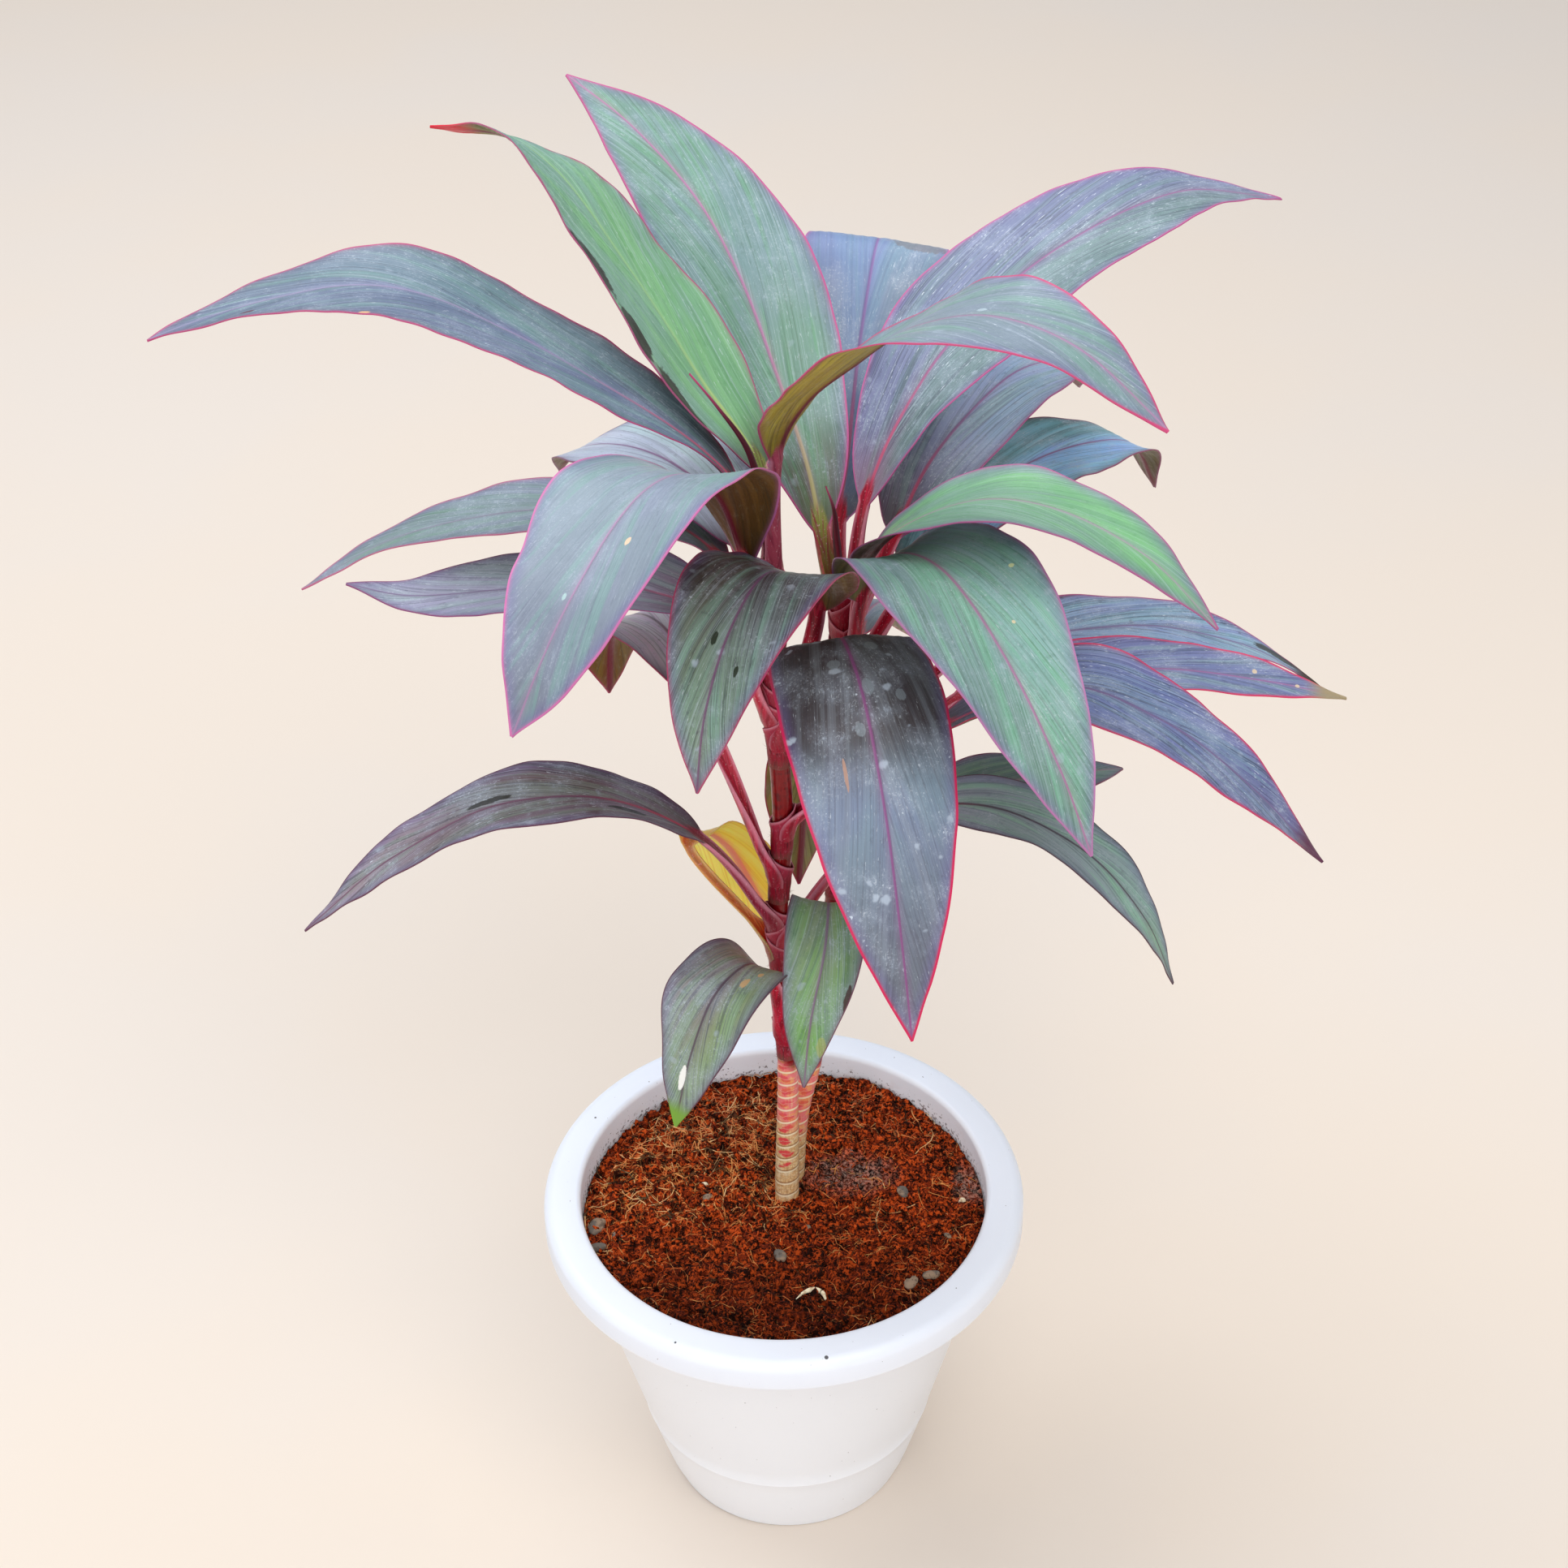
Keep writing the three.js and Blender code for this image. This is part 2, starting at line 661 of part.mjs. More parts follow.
function leafSolid(leaf, grow = 0) {
  const path = leafPath(leaf);
  const shares = [];
  for (let i = 0; i < LEAF.sheathRings; i += 1) {
    shares.push((path.sheathShare * i) / LEAF.sheathRings);
  }
  for (let i = 0; i < LEAF.petioleRings; i += 1) {
    shares.push(lerp(path.sheathShare, path.neckShare, i / LEAF.petioleRings));
  }
  for (let i = 0; i <= LEAF.bladeRings; i += 1) {
    shares.push(lerp(path.neckShare, 1, i / LEAF.bladeRings));
  }
  return skinOf(shares.map((share) => leafRing(leaf, path, share, grow)));
}

// Spears
function spearRadius(share) {
  const grown = lerp(SPEAR.footRadius, SPEAR.bellyRadius, smooth(share / SPEAR.belly));
  return lerp(grown, SPEAR.tipRadius, smooth((share - SPEAR.belly) / (1 - SPEAR.belly)));
}

// Tapering roll that stands on the top of its cane
function spearSolid({ cane, line }, grow = 0) {
  const upwards = new THREE.Vector3(0, 0, 1);
  const foot = caneAt(cane, caneEnds(cane)[1]).addScaledVector(upwards, GAP);
  const curve = curveThrough([foot, ...line.map(point)]);
  const rings = [];
  for (let i = 0; i < SPEAR.rings; i += 1) {
    const share = i / (SPEAR.rings - 1);
    const radius = spearRadius(share) + grow;
    const { right, up } = leafFrame(i === 0 ? upwards : curve.getTangentAt(share), 0, 0);
    rings.push(Array.from({ length: SPEAR.sides }, (_, k) => {
      const angle = -(k / SPEAR.sides) * 2 * PI;
      const spot = curve.getPointAt(share).addScaledVector(right, radius * cos(angle));
      return spot.addScaledVector(up, radius * sin(angle));
    }));
  }
  return skinOf(rings);
}

function boxesMeet(first, second) {
  const a = first.boundingBox();
  const b = second.boundingBox();
  return a.min.every((low, axis) => low < b.max[axis] && b.min[axis] < a.max[axis]);
}

// Leaves crowd round the canes, so each is cut back where it presses on a cane, a spear or a
// younger leaf
function trimmedLeaves() {
  const firm = Object.keys(CANES).map((cane) => caneSolid(cane, GAP));
  firm.push(...SPEARS.map((spear) => spearSolid(spear, GAP)));
  const grown = LEAVES.map((leaf) => leafSolid(leaf, GAP));
  return LEAVES.map((leaf, index) => {
    const whole = leafSolid(leaf);
    const neighbours = [...firm, ...grown.slice(index + 1)].filter((solid) => boxesMeet(whole, solid));
    return largestOf(neighbours.reduce((body, solid) => body.subtract(solid), whole));
  });
}

// Plant and pot together
const plant = new THREE.Group();
plant.add(meshOf('pot', potSolid(), 'pot'));
plant.add(meshOf('soil', soilSolid(), 'soil'));
for (const cane of Object.keys(CANES)) {
  plant.add(meshOf(`${cane}_cane`, caneSolid(cane), 'cane'));
}
for (const spear of SPEARS) {
  plant.add(meshOf(spear.name, spearSolid(spear), 'young'));
}
trimmedLeaves().forEach((solid, index) => {
  plant.add(meshOf(LEAVES[index].name, solid, LEAVES[index].finish));
});

export default plant;
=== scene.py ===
"""Ti plant in its white plastic pot: the looks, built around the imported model."""

import logging
import math
import random
from bisect import bisect_right
from dataclasses import dataclass, field, replace
from enum import Enum
from functools import cached_property
from typing import Iterable, Sequence

import bmesh
import bpy
from mathutils import Matrix, Quaternion, Vector, noise


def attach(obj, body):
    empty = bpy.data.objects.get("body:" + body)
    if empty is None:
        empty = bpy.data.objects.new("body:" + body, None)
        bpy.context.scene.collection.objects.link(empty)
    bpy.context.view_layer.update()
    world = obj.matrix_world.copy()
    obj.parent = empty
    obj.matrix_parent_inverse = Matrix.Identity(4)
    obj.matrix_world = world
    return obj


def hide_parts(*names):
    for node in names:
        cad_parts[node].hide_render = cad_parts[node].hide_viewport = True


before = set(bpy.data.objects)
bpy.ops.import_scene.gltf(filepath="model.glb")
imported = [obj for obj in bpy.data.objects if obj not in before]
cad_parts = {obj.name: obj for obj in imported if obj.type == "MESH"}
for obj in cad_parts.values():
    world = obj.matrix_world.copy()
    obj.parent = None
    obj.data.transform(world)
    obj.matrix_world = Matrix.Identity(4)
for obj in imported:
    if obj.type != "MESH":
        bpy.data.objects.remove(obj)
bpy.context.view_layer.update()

LOG = logging.getLogger("ti_plant")

MM = 0.001
DEGREE = math.pi / 180
SEED = 7
LENGTH_STEPS = 400
HALVINGS = 24
SHEET_CREASE = 60
WELD = 1e-7

# Sockets of a colour Mix node, which has one set for each kind of data
MIX_FACTOR = 0
MIX_UNDER = 6
MIX_OVER = 7
MIX_RESULT = 2

# Radius that lets a mark lie at any distance from a leaf's rim, in millimetres
ANY_RIM = 900

# Levels between which a cloudy pattern mostly lies
GRAIN_LOW = 0.35
GRAIN_HIGH = 0.65

# Scattered drops: how far and how finely their rims wander, and how uneven their sizes are
DROP_WANDER = 0.5
DROP_FINENESS = 1.6
DROP_UNEVEN = 0.45

Spot = tuple[float, float, float]
Socket = bpy.types.NodeSocket
Material = bpy.types.Material
Object = bpy.types.Object
BMesh = bmesh.types.BMesh


def lerp(start: float, end: float, share: float) -> float:
    """Value a share of the way from start to end."""
    return start + (end - start) * share


def clamp01(value: float) -> float:
    """Value held between 0 and 1."""
    return min(1.0, max(0.0, value))


def smooth(value: float) -> float:
    """Value eased from 0 to 1, and held outside that range."""
    inside = clamp01(value)
    return inside * inside * (3 - 2 * inside)


def bell(distance: float, width: float) -> float:
    """Height of a bell curve of a width at a distance from its middle."""
    return math.exp(-((distance / width) ** 2))


def blend(values: Sequence[float], share: float) -> float:
    """Reads a list that is spread evenly, eased between its entries.

    Args:
        values: the entries, first to last.
        share: where to read, from 0 to 1.

    Returns:
        The eased value.
    """
    place = clamp01(share) * (len(values) - 1)
    index = min(len(values) - 2, int(place))
    return lerp(values[index], values[index + 1], smooth(place - index))


def azimuth(start: Vector, end: Vector) -> float:
    """Compass angle from one point to another, from +X round to +Y."""
    return math.atan2(end.y - start.y, end.x - start.x)


def ripple(x: float, y: float, z: float) -> float:
    """Smooth noise from about -1 to 1 at a point."""
    return noise.noise(Vector((x, y, z)))


def linear(code: str) -> tuple[float, float, float, float]:
    """Turns an sRGB hex colour into the linear colour that a shader takes.

    Args:
        code: six hex digits after a number sign.

    Returns:
        Linear red, green, blue and an alpha of 1.
    """
    parts = [int(code[i:i + 2], 16) / 255 for i in (1, 3, 5)]
    red, green, blue = (c / 12.92 if c <= 0.04045 else ((c + 0.055) / 1.055) ** 2.4 for c in parts)
    return (red, green, blue, 1.0)


@dataclass(frozen=True)
class Coat:
    """Colour that lies over part of a surface, where a pattern passes from one level to another.

    strength is how well it covers at the second level, and within a pattern that limits it.
    """

    pattern: Socket
    none_at: float
    full_at: float
    colour: str | Socket
    strength: float = 1.0
    within: Socket | None = None


@dataclass
class Finish:
    """Material in the making: its node tree, its shader and the patterns that its coats read."""

    name: str
    material: Material = field(init=False)
    tree: bpy.types.NodeTree = field(init=False)
    shader: bpy.types.Node = field(init=False)

    def __post_init__(self) -> None:
        """Starts the material with one Principled shader."""
        self.material = bpy.data.materials.new(self.name)
        self.material.use_nodes = True
        self.tree = self.material.node_tree
        self.shader = self.tree.nodes["Principled BSDF"]

    def add(self, kind: str, inputs: dict | None = None, **settings) -> bpy.types.bpy_prop_collection:
        """Adds one shader node, with its settings and links.

        Args:
            kind: Blender's name of the node's class, without its ShaderNode.
            inputs: what each input gets, by name or number: a socket is linked, any other value is set.
            settings: the node's own properties.

        Returns:
            The new node's outputs.
        """
        node = self.tree.nodes.new(f"ShaderNode{kind}")
        for name, value in settings.items():
            setattr(node, name, value)
        for name, value in (inputs or {}).items():
            if isinstance(value, bpy.types.NodeSocket):
                self.tree.links.new(value, node.inputs[name])
            else:
                node.inputs[name].default_value = value
        return node.outputs

    @cached_property
    def place(self) -> Socket:
        """Place of the shaded point in the shared frame, in metres."""
        return self.add("TexCoord")["Object"]

    def attribute(self, name: str) -> tuple[Socket, Socket, Socket, Socket]:
        """Reads a vector that each point of the piece carries.

        Args:
            name: the attribute's name.

        Returns:
            Its three parts, then the whole vector.
        """
        whole = self.add("Attribute", attribute_name=name)["Vector"]
        parts = self.add("SeparateXYZ", {"Vector": whole})
        return parts["X"], parts["Y"], parts["Z"], whole

    def grain(self, place: Socket, size: Spot, detail: float = 2.0, roughness: float = 0.5) -> Socket:
        """Makes a cloudy pattern whose patches have a size.

        Args:
            place: the vector that the pattern follows.
            size: how long a patch is along each part of the vector, in the vector's own unit.
            detail: how many finer layers it has.
            roughness: how strong they are.

        Returns:
            The pattern, mostly between GRAIN_LOW and GRAIN_HIGH.
        """
        scale = tuple(1 / part for part in size)
        scaled = self.add("Mapping", {"Vector": place, "Scale": scale})["Vector"]
        levels = {"Vector": scaled, "Scale": 1.0, "Detail": detail, "Roughness": roughness}
        return self.add("TexNoise", levels)["Fac"]

    def clumps(self, size: float, detail: float = 2.0, roughness: float = 0.5) -> Socket:
        """Makes a cloudy pattern of round patches, of a size in millimetres."""
        return self.grain(self.place, (size * MM,) * 3, detail, roughness)

    def away_from(self, place: Socket, centre: Spot, size: Spot) -> Socket:
        """Measures how far a point is from the middle of an ellipsoid.

        Args:
            place: the point's vector.
            centre: the middle, in the vector's own unit.
            size: the ellipsoid's radii.

        Returns:
            The distance, which is 1 on the ellipsoid.
        """
        levels = {"Vector": place, "Scale": tuple(1 / part for part in size)}
        levels["Location"] = tuple(-spot / part for spot, part in zip(centre, size))
        centred = self.add("Mapping", levels)["Vector"]
        return self.add("VectorMath", {0: centred}, operation="LENGTH")["Value"]

    def drops(self, pitch: float) -> Socket:
        """Scatters round spots of uneven size.

        Args:
            pitch: about how far apart they are, in millimetres.

        Returns:
            The pattern, which is below about 0.3 inside a spot.
        """
        apart = pitch * MM
        levels = {"Vector": self.place, "Scale": DROP_FINENESS / apart, "Detail": 2.0}
        wobble = self.add("TexNoise", levels)["Color"]
        shift = {0: wobble, 1: (DROP_WANDER * apart,) * 3, 2: self.place}
        shifted = self.add("VectorMath", shift, operation="MULTIPLY_ADD")["Vector"]
        cells = self.add("TexVoronoi", {"Vector": shifted, "Scale": 1 / apart})
        sizes = {0: cells["Color"], 1: DROP_UNEVEN, 2: cells["Distance"]}
        return self.add("Math", sizes, operation="MULTIPLY_ADD")[0]

    def vary(self, name: str, pattern: Socket, low: float, high: float) -> None:
        """Lets a pattern move one of the shader's sockets.

        Args:
            name: the socket's name.
            pattern: a cloudy pattern.
            low: the socket's value where the pattern is low.
            high: its value where the pattern is high.
        """
        levels = {"Value": pattern, "From Min": GRAIN_LOW, "From Max": GRAIN_HIGH}
        levels |= {"To Min": low, "To Max": high}
        self.tree.links.new(self.add("MapRange", levels)["Result"], self.shader.inputs[name])

    def coated(self, ground: str | Socket, coats: Iterable[Coat]) -> Socket:
        """Lays coats of colour over a ground.

        Args:
            ground: the colour underneath.
            coats: what lies over it, from the lowest up.

        Returns:
            The colour that results.
        """
        colour = ground
        for coat in coats:
            levels = {"Value": coat.pattern, "From Min": coat.none_at, "From Max": coat.full_at}
            levels["To Max"] = coat.strength
            mask = self.add("MapRange", levels, interpolation_type="SMOOTHSTEP")["Result"]
            if coat.within is not None:
                mask = self.add("Math", {0: mask, 1: coat.within}, operation="MULTIPLY")[0]
            under, over = (linear(c) if isinstance(c, str) else c for c in (colour, coat.colour))
            mixed = {MIX_FACTOR: mask, MIX_UNDER: under, MIX_OVER: over}
            colour = self.add("Mix", mixed, data_type="RGBA")[MIX_RESULT]
        return colour

    def relief(self, height: Socket, strength: float, depth: float) -> None:
        """Raises the surface by a pattern, to a depth in millimetres."""
        bump = self.add("Bump", {"Height": height, "Strength": strength, "Distance": depth * MM})
        self.tree.links.new(bump["Normal"], self.shader.inputs["Normal"])

    def finished(self, colour: Socket, **constants: float | Spot) -> Material:
        """Gives the shader its colour and constants.

        Args:
            colour: the finished colour.
            constants: values for the shader's sockets, with underscores for the spaces.

        Returns:
            The finished material.
        """
        self.tree.links.new(colour, self.shader.inputs["Base Color"])
        for name, value in constants.items():
            self.shader.inputs[name.replace("_", " ")].default_value = value
        return self.material


def finished_object(
    bm: BMesh,
    name: str,
    material: Material,
    crease: float = 180.0,
) -> Object:
    """Turns a finished mesh into a smooth object in its material.

    Args:
        bm: the mesh, in metres in the shared frame. It is freed.
        name: the object's name.
        material: its finish.
        crease: edges that turn by more than this angle, in degrees, stay sharp.

    Returns:
        The object, linked to the scene.
    """
    bmesh.ops.recalc_face_normals(bm, faces=bm.faces)
    for face in bm.faces:
        face.smooth = True
    mesh = bpy.data.meshes.new(name)
    bm.to_mesh(mesh)
    bm.free()
    if crease < 180:
        mesh.set_sharp_from_angle(angle=crease * DEGREE)
    mesh.materials.append(material)
    piece = bpy.data.objects.new(name, mesh)
    bpy.context.scene.collection.objects.link(piece)
    return piece


def settle(piece: Object, slot: str, *nodes: str) -> None:
    """Fixes a finished piece to the model and reports it.

    Args:
        piece: the object.
        slot: the record's material slot; it is not used.
        nodes: the nodes of the model that it stands for.
    """
    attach(piece, "root")
    if nodes:
        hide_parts(*nodes)
    LOG.info("%s: %d faces", piece.name, len(piece.data.polygons))


class SmoothLine:
    """Smooth line through a few points, in metres, read by its parameter or by its length."""

    def __init__(self, spots: Iterable[Spot | Vector]) -> None:
        """Takes the points in millimetres and measures the line once."""
        self.points = [Vector(spot) * MM for spot in spots]
        walk = [self.at(i / LENGTH_STEPS) for i in range(LENGTH_STEPS + 1)]
        self.lengths = [0.0]
        for before, after in zip(walk, walk[1:]):
            self.lengths.append(self.lengths[-1] + (after - before).length)

    def at(self, t: float) -> Vector:
        """Finds the point at a share of the parameter, which spends the same on each span.

        Args:
            t: the share, from 0 to 1.

        Returns:
            The point on the line.
        """
        spans = len(self.points) - 1
        place = clamp01(t) * spans
        index = min(int(place), spans - 1)
        w = place - index
        p1, p2 = self.points[index], self.points[index + 1]
        p0 = self.points[index - 1] if index else p1 * 2 - p2
        p3 = self.points[index + 2] if index + 2 <= spans else p2 * 2 - p1
        d0, d1, d2 = (math.sqrt((b - a).length) for a, b in ((p0, p1), (p1, p2), (p2, p3)))
        leave = ((p1 - p0) / d0 - (p2 - p0) / (d0 + d1) + (p2 - p1) / d1) * d1
        arrive = ((p2 - p1) / d1 - (p3 - p1) / (d1 + d2) + (p3 - p2) / d2) * d1
        ease = w * w * (3 - 2 * w)
        return p1 * (1 - ease) + p2 * ease + leave * (w * (1 - w) ** 2) - arrive * (w * w * (1 - w))

    @property
    def total(self) -> float:
        """Length of the whole line."""
        return self.lengths[-1]

    def parameter(self, share: float) -> float:
        """Finds the parameter at a share of the line's length.

        Args:
            share: the share, from 0 to 1.

        Returns:
            The parameter there.
        """
        goal = clamp01(share) * self.total
        index = min(bisect_right(self.lengths, goal), LENGTH_STEPS) - 1
        span = self.lengths[index + 1] - self.lengths[index]
        return (index + (goal - self.lengths[index]) / span) / LENGTH_STEPS

    def along(self, share: float) -> Vector:
        """Finds the point at a share of the line's length."""
        return self.at(self.parameter(share))

    def heading(self, share: float) -> Vector:
        """Finds the direction of the line at a share of its length."""
        t = self.parameter(share)
        step = 0.5 / LENGTH_STEPS
        return (self.at(min(1.0, t + step)) - self.at(max(0.0, t - step))).normalized()


def add_tube(bm: BMesh, line: SmoothLine, radii: Sequence[float], steps: int, sides: int) -> None:
    """Adds a round tapering strand along a line.

    Args:
        bm: the mesh that it joins.
        line: its middle.
        radii: its radius in millimetres, from one end to the other.
        steps: how many stretches it has.
        sides: how many faces go round it.
    """
    corners = bmesh.ops.create_grid(bm, x_segments=sides, y_segments=steps, size=1)["verts"]
    for corner in corners:
        angle, share = corner.co.x * math.pi, (corner.co.y + 1) / 2
        tangent = line.heading(share)
        right = tangent.orthogonal().normalized()
        out = right * math.cos(angle) + tangent.cross(right) * math.sin(angle)
        corner.co = line.along(share) + out * blend(radii, share) * MM


# Canes


@dataclass(frozen=True)
class BarkFinish:
    """Young cane skin: straw-coloured and ringed at the foot, then pink, then wet-looking blood red."""

    tan: str = "#dcaa70"
    straw: str = "#f6d8a0"
    # ring is the pale leaf scar, with a painted highlight along its ridge
    ring: str = "#faeac4"
    shadow: str = "#8a5630"
    spot: str = "#dc2c40"
    pink: str = "#ec7c7a"
    amber: str = "#f0a45c"
    crimson: str = "#84060d"
    deep: str = "#500208"
    gleam: str = "#b0181e"
    shadow_above: float = 0.75

    def material(self) -> Material:
        """Smooth thin bark: dull and corky where it is old, with a wet skin's gloss where it is young.

        Returns:
            The material, which reads a piece's bark attribute.
        """
        look = Finish("cane skin, smooth young bark")
        age, offset, spot, _ = look.attribute("bark")
        blotches = look.grain(look.place, (4 * MM, 4 * MM, 3 * MM), 3.0)
        threads = look.grain(look.place, (0.8 * MM, 0.8 * MM, 5 * MM), 3.0)
        cork = look.grain(look.place, (1.1 * MM, 1.1 * MM, 0.8 * MM), 4.0, 0.65)
        from_ring = look.add("Math", {0: offset}, operation="ABSOLUTE")[0]
        above = look.add("Math", {0: offset, 1: -self.shadow_above}, operation="ADD")[0]
        from_shadow = look.add("Math", {0: above}, operation="ABSOLUTE")[0]
        ragged = look.add("Math", {0: cork, 1: 0.5, 2: spot}, operation="MULTIPLY_ADD")[0]
        young = look.coated(self.crimson, [
            Coat(blotches, 0.44, 0.66, self.deep, 0.75),
            Coat(threads, 0.5, 0.72, self.gleam, 0.4),
        ])
        pink = look.coated(self.pink, [
            Coat(blotches, 0.46, 0.6, self.amber, 0.75),
            Coat(threads, 0.5, 0.7, self.straw, 0.35),
            Coat(ragged, 0.5, 0.68, self.spot, 0.65),
            Coat(from_shadow, 0.5, 0.1, self.spot, 0.45),
            # Pale leaf scar, with a painted highlight along its ridge
            Coat(from_ring, 0.8, 0.2, self.ring, 0.8),
        ])
        old = look.coated(self.tan, [
            Coat(cork, 0.42, 0.62, self.straw, 0.9),
            Coat(threads, 0.55, 0.4, self.shadow, 0.3),
            Coat(blotches, 0.55, 0.7, self.ring, 0.4),
            Coat(ragged, 0.5, 0.64, self.spot, 0.9),
            Coat(from_shadow, 0.6, 0.15, self.shadow, 0.75),
            # Pale leaf scar, with a painted highlight along its ridge
            Coat(from_ring, 0.7, 0.2, self.ring, 0.75),
        ])
        look.relief(cork, 0.3, 0.25)
        colour = look.coated(young, [Coat(age, 0.34, 0.4, pink), Coat(age, 0.62, 0.74, old)])
        gloss = {"Specular_IOR_Level": 0.35, "Coat_Weight": 0.15, "Coat_Roughness": 0.15}
        return look.finished(colour, Roughness=0.3, IOR=1.45, **gloss)


@dataclass(frozen=True)
class Cane:
    """Stem that carries one crown: its line, its thickness and the rings of its leaf scars.

    Lengths are millimetres and bud_side is the compass angle of the buds in degrees.
    """

    name: str
    line: tuple[Spot, ...]
    scar_end: float
    foot_radius: float = 4.6
    stem_radius: float = 3.7
    skin: float = 0.35
    foot_top: float = 150.0
    first_scar: float = 152.0
    scar_pitch: float = 7.0
    node_pitch: float = 16.0
    ridge: float = 0.4
    ridge_half: float = 0.8
    belly: float = 0.25
    slant: float = 0.9
    slant_turn: float = 0.02
    uneven: float = 0.12
    uneven_pitch: float = 4.0
    bare_ease: float = 6.0
    covered_form: float = 0.3
    tip_round: float = 2.0
    bud_side: float = 255.0
    bud_wander: float = 0.35
    bud_step: float = 2.4
    bud_colour: float = 0.62
    bud_arc: float = 0.75
    bud_half: float = 2.6
    bud_start: float = 158.0
    bud_ease: float = 18.0
    blush: float = 17.0
    ageing: float = 113.0
    age_wave: float = 0.02
    columns: int = 28
    row_height: float = 0.8

    @property
    def ends(self) -> tuple[float, float]:
        """Heights of its bottom and its top."""
        return self.line[0][2], self.line[-1][2]

    def at(self, height: float) -> Vector:
        """Finds the point on the centre line at a height, by halving.

        Args:
            height: the height in millimetres.

        Returns:
            The point, in metres.
        """
        curve = CANE_LINES[self.name]
        low, high = 0.0, 1.0
        for _ in range(HALVINGS):
            middle = (low + high) / 2
            if curve.at(middle).z < height * MM:
                low = middle
            else:
                high = middle
        return curve.at(low)

    def radius(self, height: float) -> float:
        """Plain radius at a height, in millimetres."""
        rise = (height - self.foot_top) / (self.scar_end - self.foot_top)
        return lerp(self.foot_radius, self.stem_radius, smooth(rise))

    def scars(self) -> list[float]:
        """Heights of the rings, closer together on the bare foot."""
        heights = [self.first_scar]
        while heights[-1] < self.ends[1] - self.node_pitch:
            pitch = self.scar_pitch if heights[-1] < self.scar_end else self.node_pitch
            heights.append(heights[-1] + pitch)
        return heights

    def skin_at(self, height: float, angle: float, scars: Sequence[float]) -> tuple[float, float]:
        """Works out the finer form of the skin.

        Args:
            height: the height in millimetres.
            angle: the angle round the cane.
            scars: the heights of the rings.

        Returns:
            The radius, and the height above the nearest ring, both in millimetres.
        """
        tilted = height + self.slant * math.cos(angle + height * self.slant_turn)
        nearest = min(scars, key=lambda scar: abs(scar - tilted))
        away = abs(nearest - tilted)
        pitch = self.scar_pitch if nearest < self.scar_end else self.node_pitch
        swell = self.belly * math.sin(math.pi * min(1.0, away / pitch))
        uneven = self.uneven * ripple(math.cos(angle), math.sin(angle), height / self.uneven_pitch)
        ridge = self.ridge * bell(away, self.ridge_half)
        to_top = self.ends[1] - height
        inset = self.tip_round * (1 - smooth(to_top / self.tip_round))
        bare = smooth((self.scar_end + self.bare_ease - height) / self.bare_ease)
        form = (swell + ridge + uneven) * lerp(self.covered_form, 1.0, bare)
        return self.radius(height) + self.skin + form - inset, tilted - nearest

    def bud_at(self, height: float, angle: float, offset: float) -> float:
        """Works out the colour of the red bud spots that sit above the rings, on wandering sides.

        Args:
            height: the height in millimetres.
            angle: the angle round the cane.
            offset: the height above the nearest ring.

        Returns:
            The depth of the colour.
        """
        ring = round((height - offset - self.first_scar) / self.scar_pitch)
        middle = self.bud_side * DEGREE + self.bud_wander * math.sin(ring * self.bud_step)
        around = math.atan2(math.sin(angle - middle), math.cos(angle - middle))
        risen = offset % self.scar_pitch - self.scar_pitch / 2
        spot = self.bud_colour * bell(around, self.bud_arc) * bell(risen, self.bud_half)
        return spot * smooth((height - self.bud_start) / self.bud_ease)

    def build(self, material: Material) -> Object:
        """Wraps a fine grid round the centre line and rings it.

        Args:
            material: its finish.

        Returns:
            The cane.
        """
        bottom, top = self.ends
        rows = round((top - bottom) / self.row_height)
        bm = bmesh.new()
        bmesh.ops.create_grid(bm, x_segments=self.columns, y_segments=rows, size=1)
        bark = bm.verts.layers.float_vector.new("bark")
        scars = self.scars()
        centres = [self.at(lerp(bottom, top, i / rows)) for i in range(rows + 1)]
        for corner in bm.verts:
            row = round((corner.co.y + 1) / 2 * rows)
            angle = (corner.co.x + 1) * math.pi
            height = lerp(bottom, top, row / rows)
            radius, offset = self.skin_at(height, angle, scars)
            if row in (0, rows):
                radius = 0.0
            age = 0.5 - (height - self.scar_end + self.blush) / self.ageing
            corner.co = centres[row] + Vector((math.cos(angle), math.sin(angle), 0)) * radius * MM
            age += self.age_wave * math.sin(angle * 2)
            corner[bark] = (age, offset, self.bud_at(height, angle, offset))
        bmesh.ops.remove_doubles(bm, verts=bm.verts, dist=WELD)
        return finished_object(bm, f"{self.name}_cane_skin", material)


CANES = {
    "front": Cane(
        "front",
        (
            (1.5, 8, 78), (1.5, 7.2, 145), (2.7, 7, 229), (0, 7, 300), (2.7, 7, 355), (0.6, 7, 410),
            (0, 7, 468),
        ),
        229,
    ),
    "rear": Cane(
        "rear",
        (
            (3.5, 20, 78), (4, 20, 146), (7, 21.5, 183), (11.5, 23, 203), (15.5, 25, 222), (20.4, 26.7, 256),
            (24, 26.7, 304), (27.4, 26.7, 342), (27.5, 26.7, 400), (26.5, 26.7, 452),
        ),
        215,
    ),
}
CANE_LINES = {name: SmoothLine(cane.line) for name, cane in CANES.items()}


# Leaves


@dataclass(frozen=True)
class Mark:
    """Blemish on a leaf: its place and half size, across in millimetres and along as shares of the blade."""

    across: float
    share: float
    wide: float
    long: float
    colour: str
    strength: float = 0.9


class Bloom(str, Enum):
    """Colours of the wax, dust and scurf that all the leaves share."""

    LINES = "#c2ced8"
    FILM = "#a9b4c4"
    MOTTLE = "#b4c0cc"
    SPECKLE = "#cdd4de"
    DASHES = "#dde4ea"
    DROPS = "#aebac8"
    FINE_DROPS = "#ccd6e0"
    UNDERSIDE = "#8f8a70"
    SPECKS = "#eeb9c0"
    SHEATH = "#8c1026"
    SCURF = "#b8707a"


